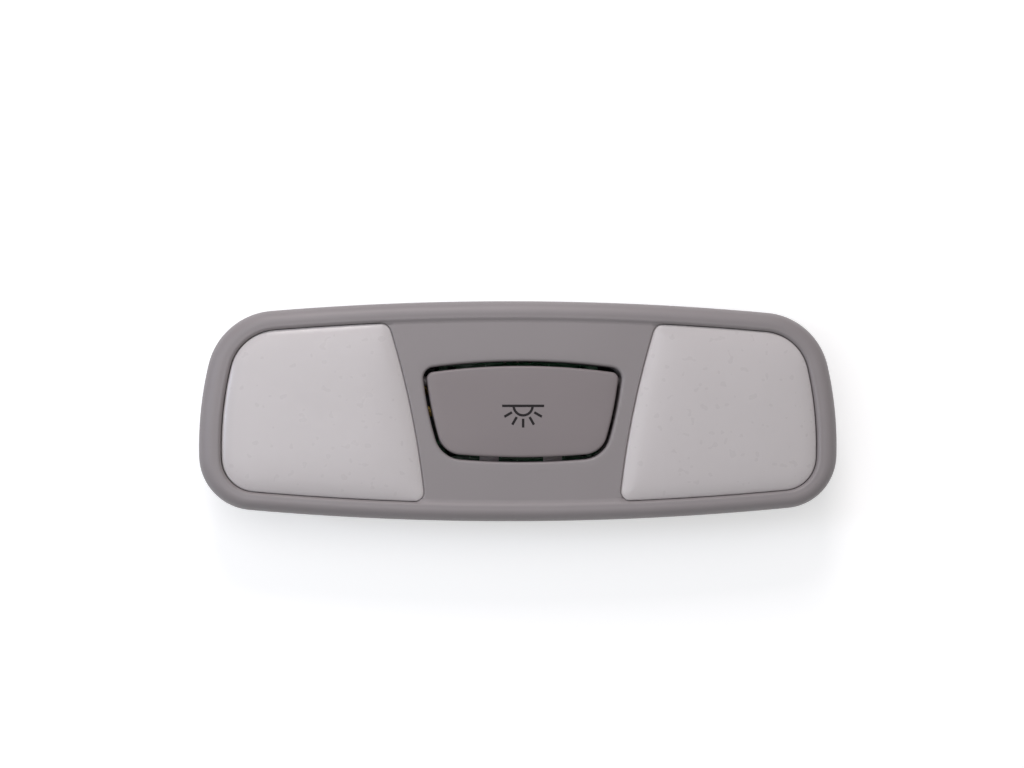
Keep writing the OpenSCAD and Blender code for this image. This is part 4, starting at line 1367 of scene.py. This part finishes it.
@dataclass
class Interior:
    """Housing, chambers, switch, wiring and fasteners, as their solids draw them but with their edges rounded.

    The wound wires of the bulbs and of the switch spring have no edges, and stay as their solids are.
    """

    edges: dict[str, float] = field(
        default_factory=lambda: {
            "rear_housing": 0.25,
            "reflector_left": 0.15,
            "reflector_right": 0.15,
            "contact_left_outer": 0.06,
            "contact_left_inner": 0.06,
            "contact_right_outer": 0.06,
            "contact_right_inner": 0.06,
            "circuit_board": 0.08,
            "switch_body": 0.2,
            "switch_plunger": 0.15,
            "connector_header": 0.15,
            "connector_pins": 0.05,
            "clip_left": 0.06,
            "clip_right": 0.06,
            "housing_screws": 0.12,
            "bulb_caps_left": 0.1,
            "bulb_caps_right": 0.1,
            "bulb_glass_left": 0.05,
            "bulb_glass_right": 0.05,
        }
    )
    wound: tuple[str, ...] = ("filament_left", "filament_right", "switch_spring")

    def build(self, lamp: Lamp) -> None:
        """Rounds off each piece and hands it over, and coats the wound wires."""
        for node, edge in self.edges.items():
            lamp.round_off(node, f"{node}_piece", edge)
        for node in self.wound:
            lamp.coat(node)


# Studio


@dataclass(frozen=True)
class Softbox:
    """Square area light, set by the share of white that it gives a pale surface facing it."""

    name: str
    direction: tuple[float, float, float]
    distance: float
    size: float
    share: float
    colour: str = "#ffffff"

    def build(self) -> None:
        """Adds the light, turned towards the lamp."""
        at = Vector(self.direction).normalized() * self.distance
        bpy.ops.object.light_add(type="AREA", location=at)
        light = bpy.context.object
        light.name = self.name
        light.rotation_euler = at.to_track_quat("Z", "Y").to_euler()
        light.data.size = self.size
        light.data.energy = self.share * math.pi**2 * self.distance**2
        light.data.color = linear(self.colour)[:3]


@dataclass
class Studio:
    """White floor, soft lights and the camera of the reference view, in metres."""

    focus: tuple[float, float, float] = (0.0, 0.0, 0.0235)
    distance: float = 0.640
    lean: float = 0.083
    lens_mm: float = 72.09
    shift: tuple[float, float] = (-0.00988, 0.0266)
    sky: float = 0.36
    sky_gloss: float = 0.7
    floor_white: float = 0.8
    floor_glow: float = 0.46
    lights: tuple[Softbox, ...] = (
        Softbox("overhead_light", (-0.3, 0.2, 1.0), 0.8, 0.6, 0.38, "#fcfcff"),
        Softbox("top_light", (-0.1, 1.0, 0.75), 0.9, 0.3, 0.36, "#fff8f9"),
        Softbox("window_light", (-1.0, 0.1, 0.7), 0.9, 0.14, 0.14, "#dfeaff"),
    )

    def seen(self, tree: bpy.types.NodeTree, *rays: str) -> bpy.types.NodeSocket:
        """1 for the kinds of ray that are named, and 0 for the rest."""
        path = add_node(tree, "ShaderNodeLightPath")
        total = path.outputs[rays[0]]
        for other in rays[1:]:
            node = add_node(tree, "ShaderNodeMath", operation="MAXIMUM")
            tree.links.new(total, node.inputs[0])
            tree.links.new(path.outputs[other], node.inputs[1])
            total = node.outputs["Value"]
        return total

    def build_floor(self) -> None:
        """Lays the white floor, which keeps the lamp's shadow."""
        bpy.ops.mesh.primitive_plane_add(size=6.0)
        floor = bpy.context.object
        floor.name = "floor"
        material = bpy.data.materials.new("white_paper")
        material.use_nodes = True
        tree = material.node_tree
        tree.nodes.clear()
        white = (self.floor_white,) * 3 + (1.0,)
        paper = add_node(tree, "ShaderNodeBsdfDiffuse", {"Color": white})
        lit = add_node(tree, "ShaderNodeMath", operation="MULTIPLY")
        tree.links.new(self.seen(tree, "Is Camera Ray", "Is Glossy Ray", "Is Transmission Ray"), lit.inputs[0])
        lit.inputs[1].default_value = self.floor_glow
        glow = add_node(tree, "ShaderNodeEmission", {"Strength": lit.outputs["Value"]})
        both = add_node(tree, "ShaderNodeAddShader")
        tree.links.new(paper.outputs["BSDF"], both.inputs[0])
        tree.links.new(glow.outputs["Emission"], both.inputs[1])
        add_node(tree, "ShaderNodeOutputMaterial", {"Surface": both.outputs["Shader"]})
        floor.data.materials.append(material)

    def build_sky(self) -> None:
        """Surrounds the lamp with an even white sky, brighter to the camera and in a gloss than as a light."""
        world = bpy.data.worlds.new("studio")
        bpy.context.scene.world = world
        world.use_nodes = True
        tree = world.node_tree
        tree.nodes.clear()
        gloss = add_node(
            tree,
            "ShaderNodeMapRange",
            {"Value": self.seen(tree, "Is Glossy Ray"), "To Min": self.sky, "To Max": self.sky_gloss},
        ).outputs["Result"]
        clear = self.seen(tree, "Is Camera Ray", "Is Transmission Ray")
        level = add_node(tree, "ShaderNodeMath", operation="MAXIMUM")
        tree.links.new(gloss, level.inputs[0])
        tree.links.new(clear, level.inputs[1])
        sky = add_node(tree, "ShaderNodeBackground", {"Strength": level.outputs["Value"]})
        add_node(tree, "ShaderNodeOutputWorld", {"Surface": sky.outputs["Background"]})

    def build_camera(self) -> None:
        """Sets the camera almost straight above the lamp, leaning a little to its left."""
        upright = math.sqrt(1.0 - self.lean**2)
        across, up = Vector((upright, 0.0, self.lean)), Vector((0.0, 1.0, 0.0))
        back = Vector((-self.lean, 0.0, upright))
        bpy.ops.object.camera_add()
        camera = bpy.context.object
        place_at = Matrix((across, up, back)).transposed().to_4x4()
        place_at.translation = Vector(self.focus) + self.distance * back
        camera.matrix_world = place_at
        camera.data.sensor_width = 36.0
        camera.data.lens = self.lens_mm
        camera.data.shift_x, camera.data.shift_y = self.shift
        bpy.context.scene.camera = camera

    def build(self) -> None:
        """Builds the whole studio."""
        self.build_camera()
        self.build_floor()
        self.build_sky()
        for light in self.lights:
            light.build()
        bpy.context.scene.view_settings.view_transform = "Standard"


def main() -> None:
    """Builds the studio and the lamp."""
    logging.basicConfig(level=logging.INFO, format="%(name)s: %(message)s")
    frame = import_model()
    Studio().build()
    lamp = Lamp(frame)
    Bezel().build(lamp)
    for side in Side:
        Lens(side).build(lamp)
    PushButton().build(lamp)
    ButtonSymbol().build()
    Interior().build(lamp)


if __name__ == "__main__":
    main()
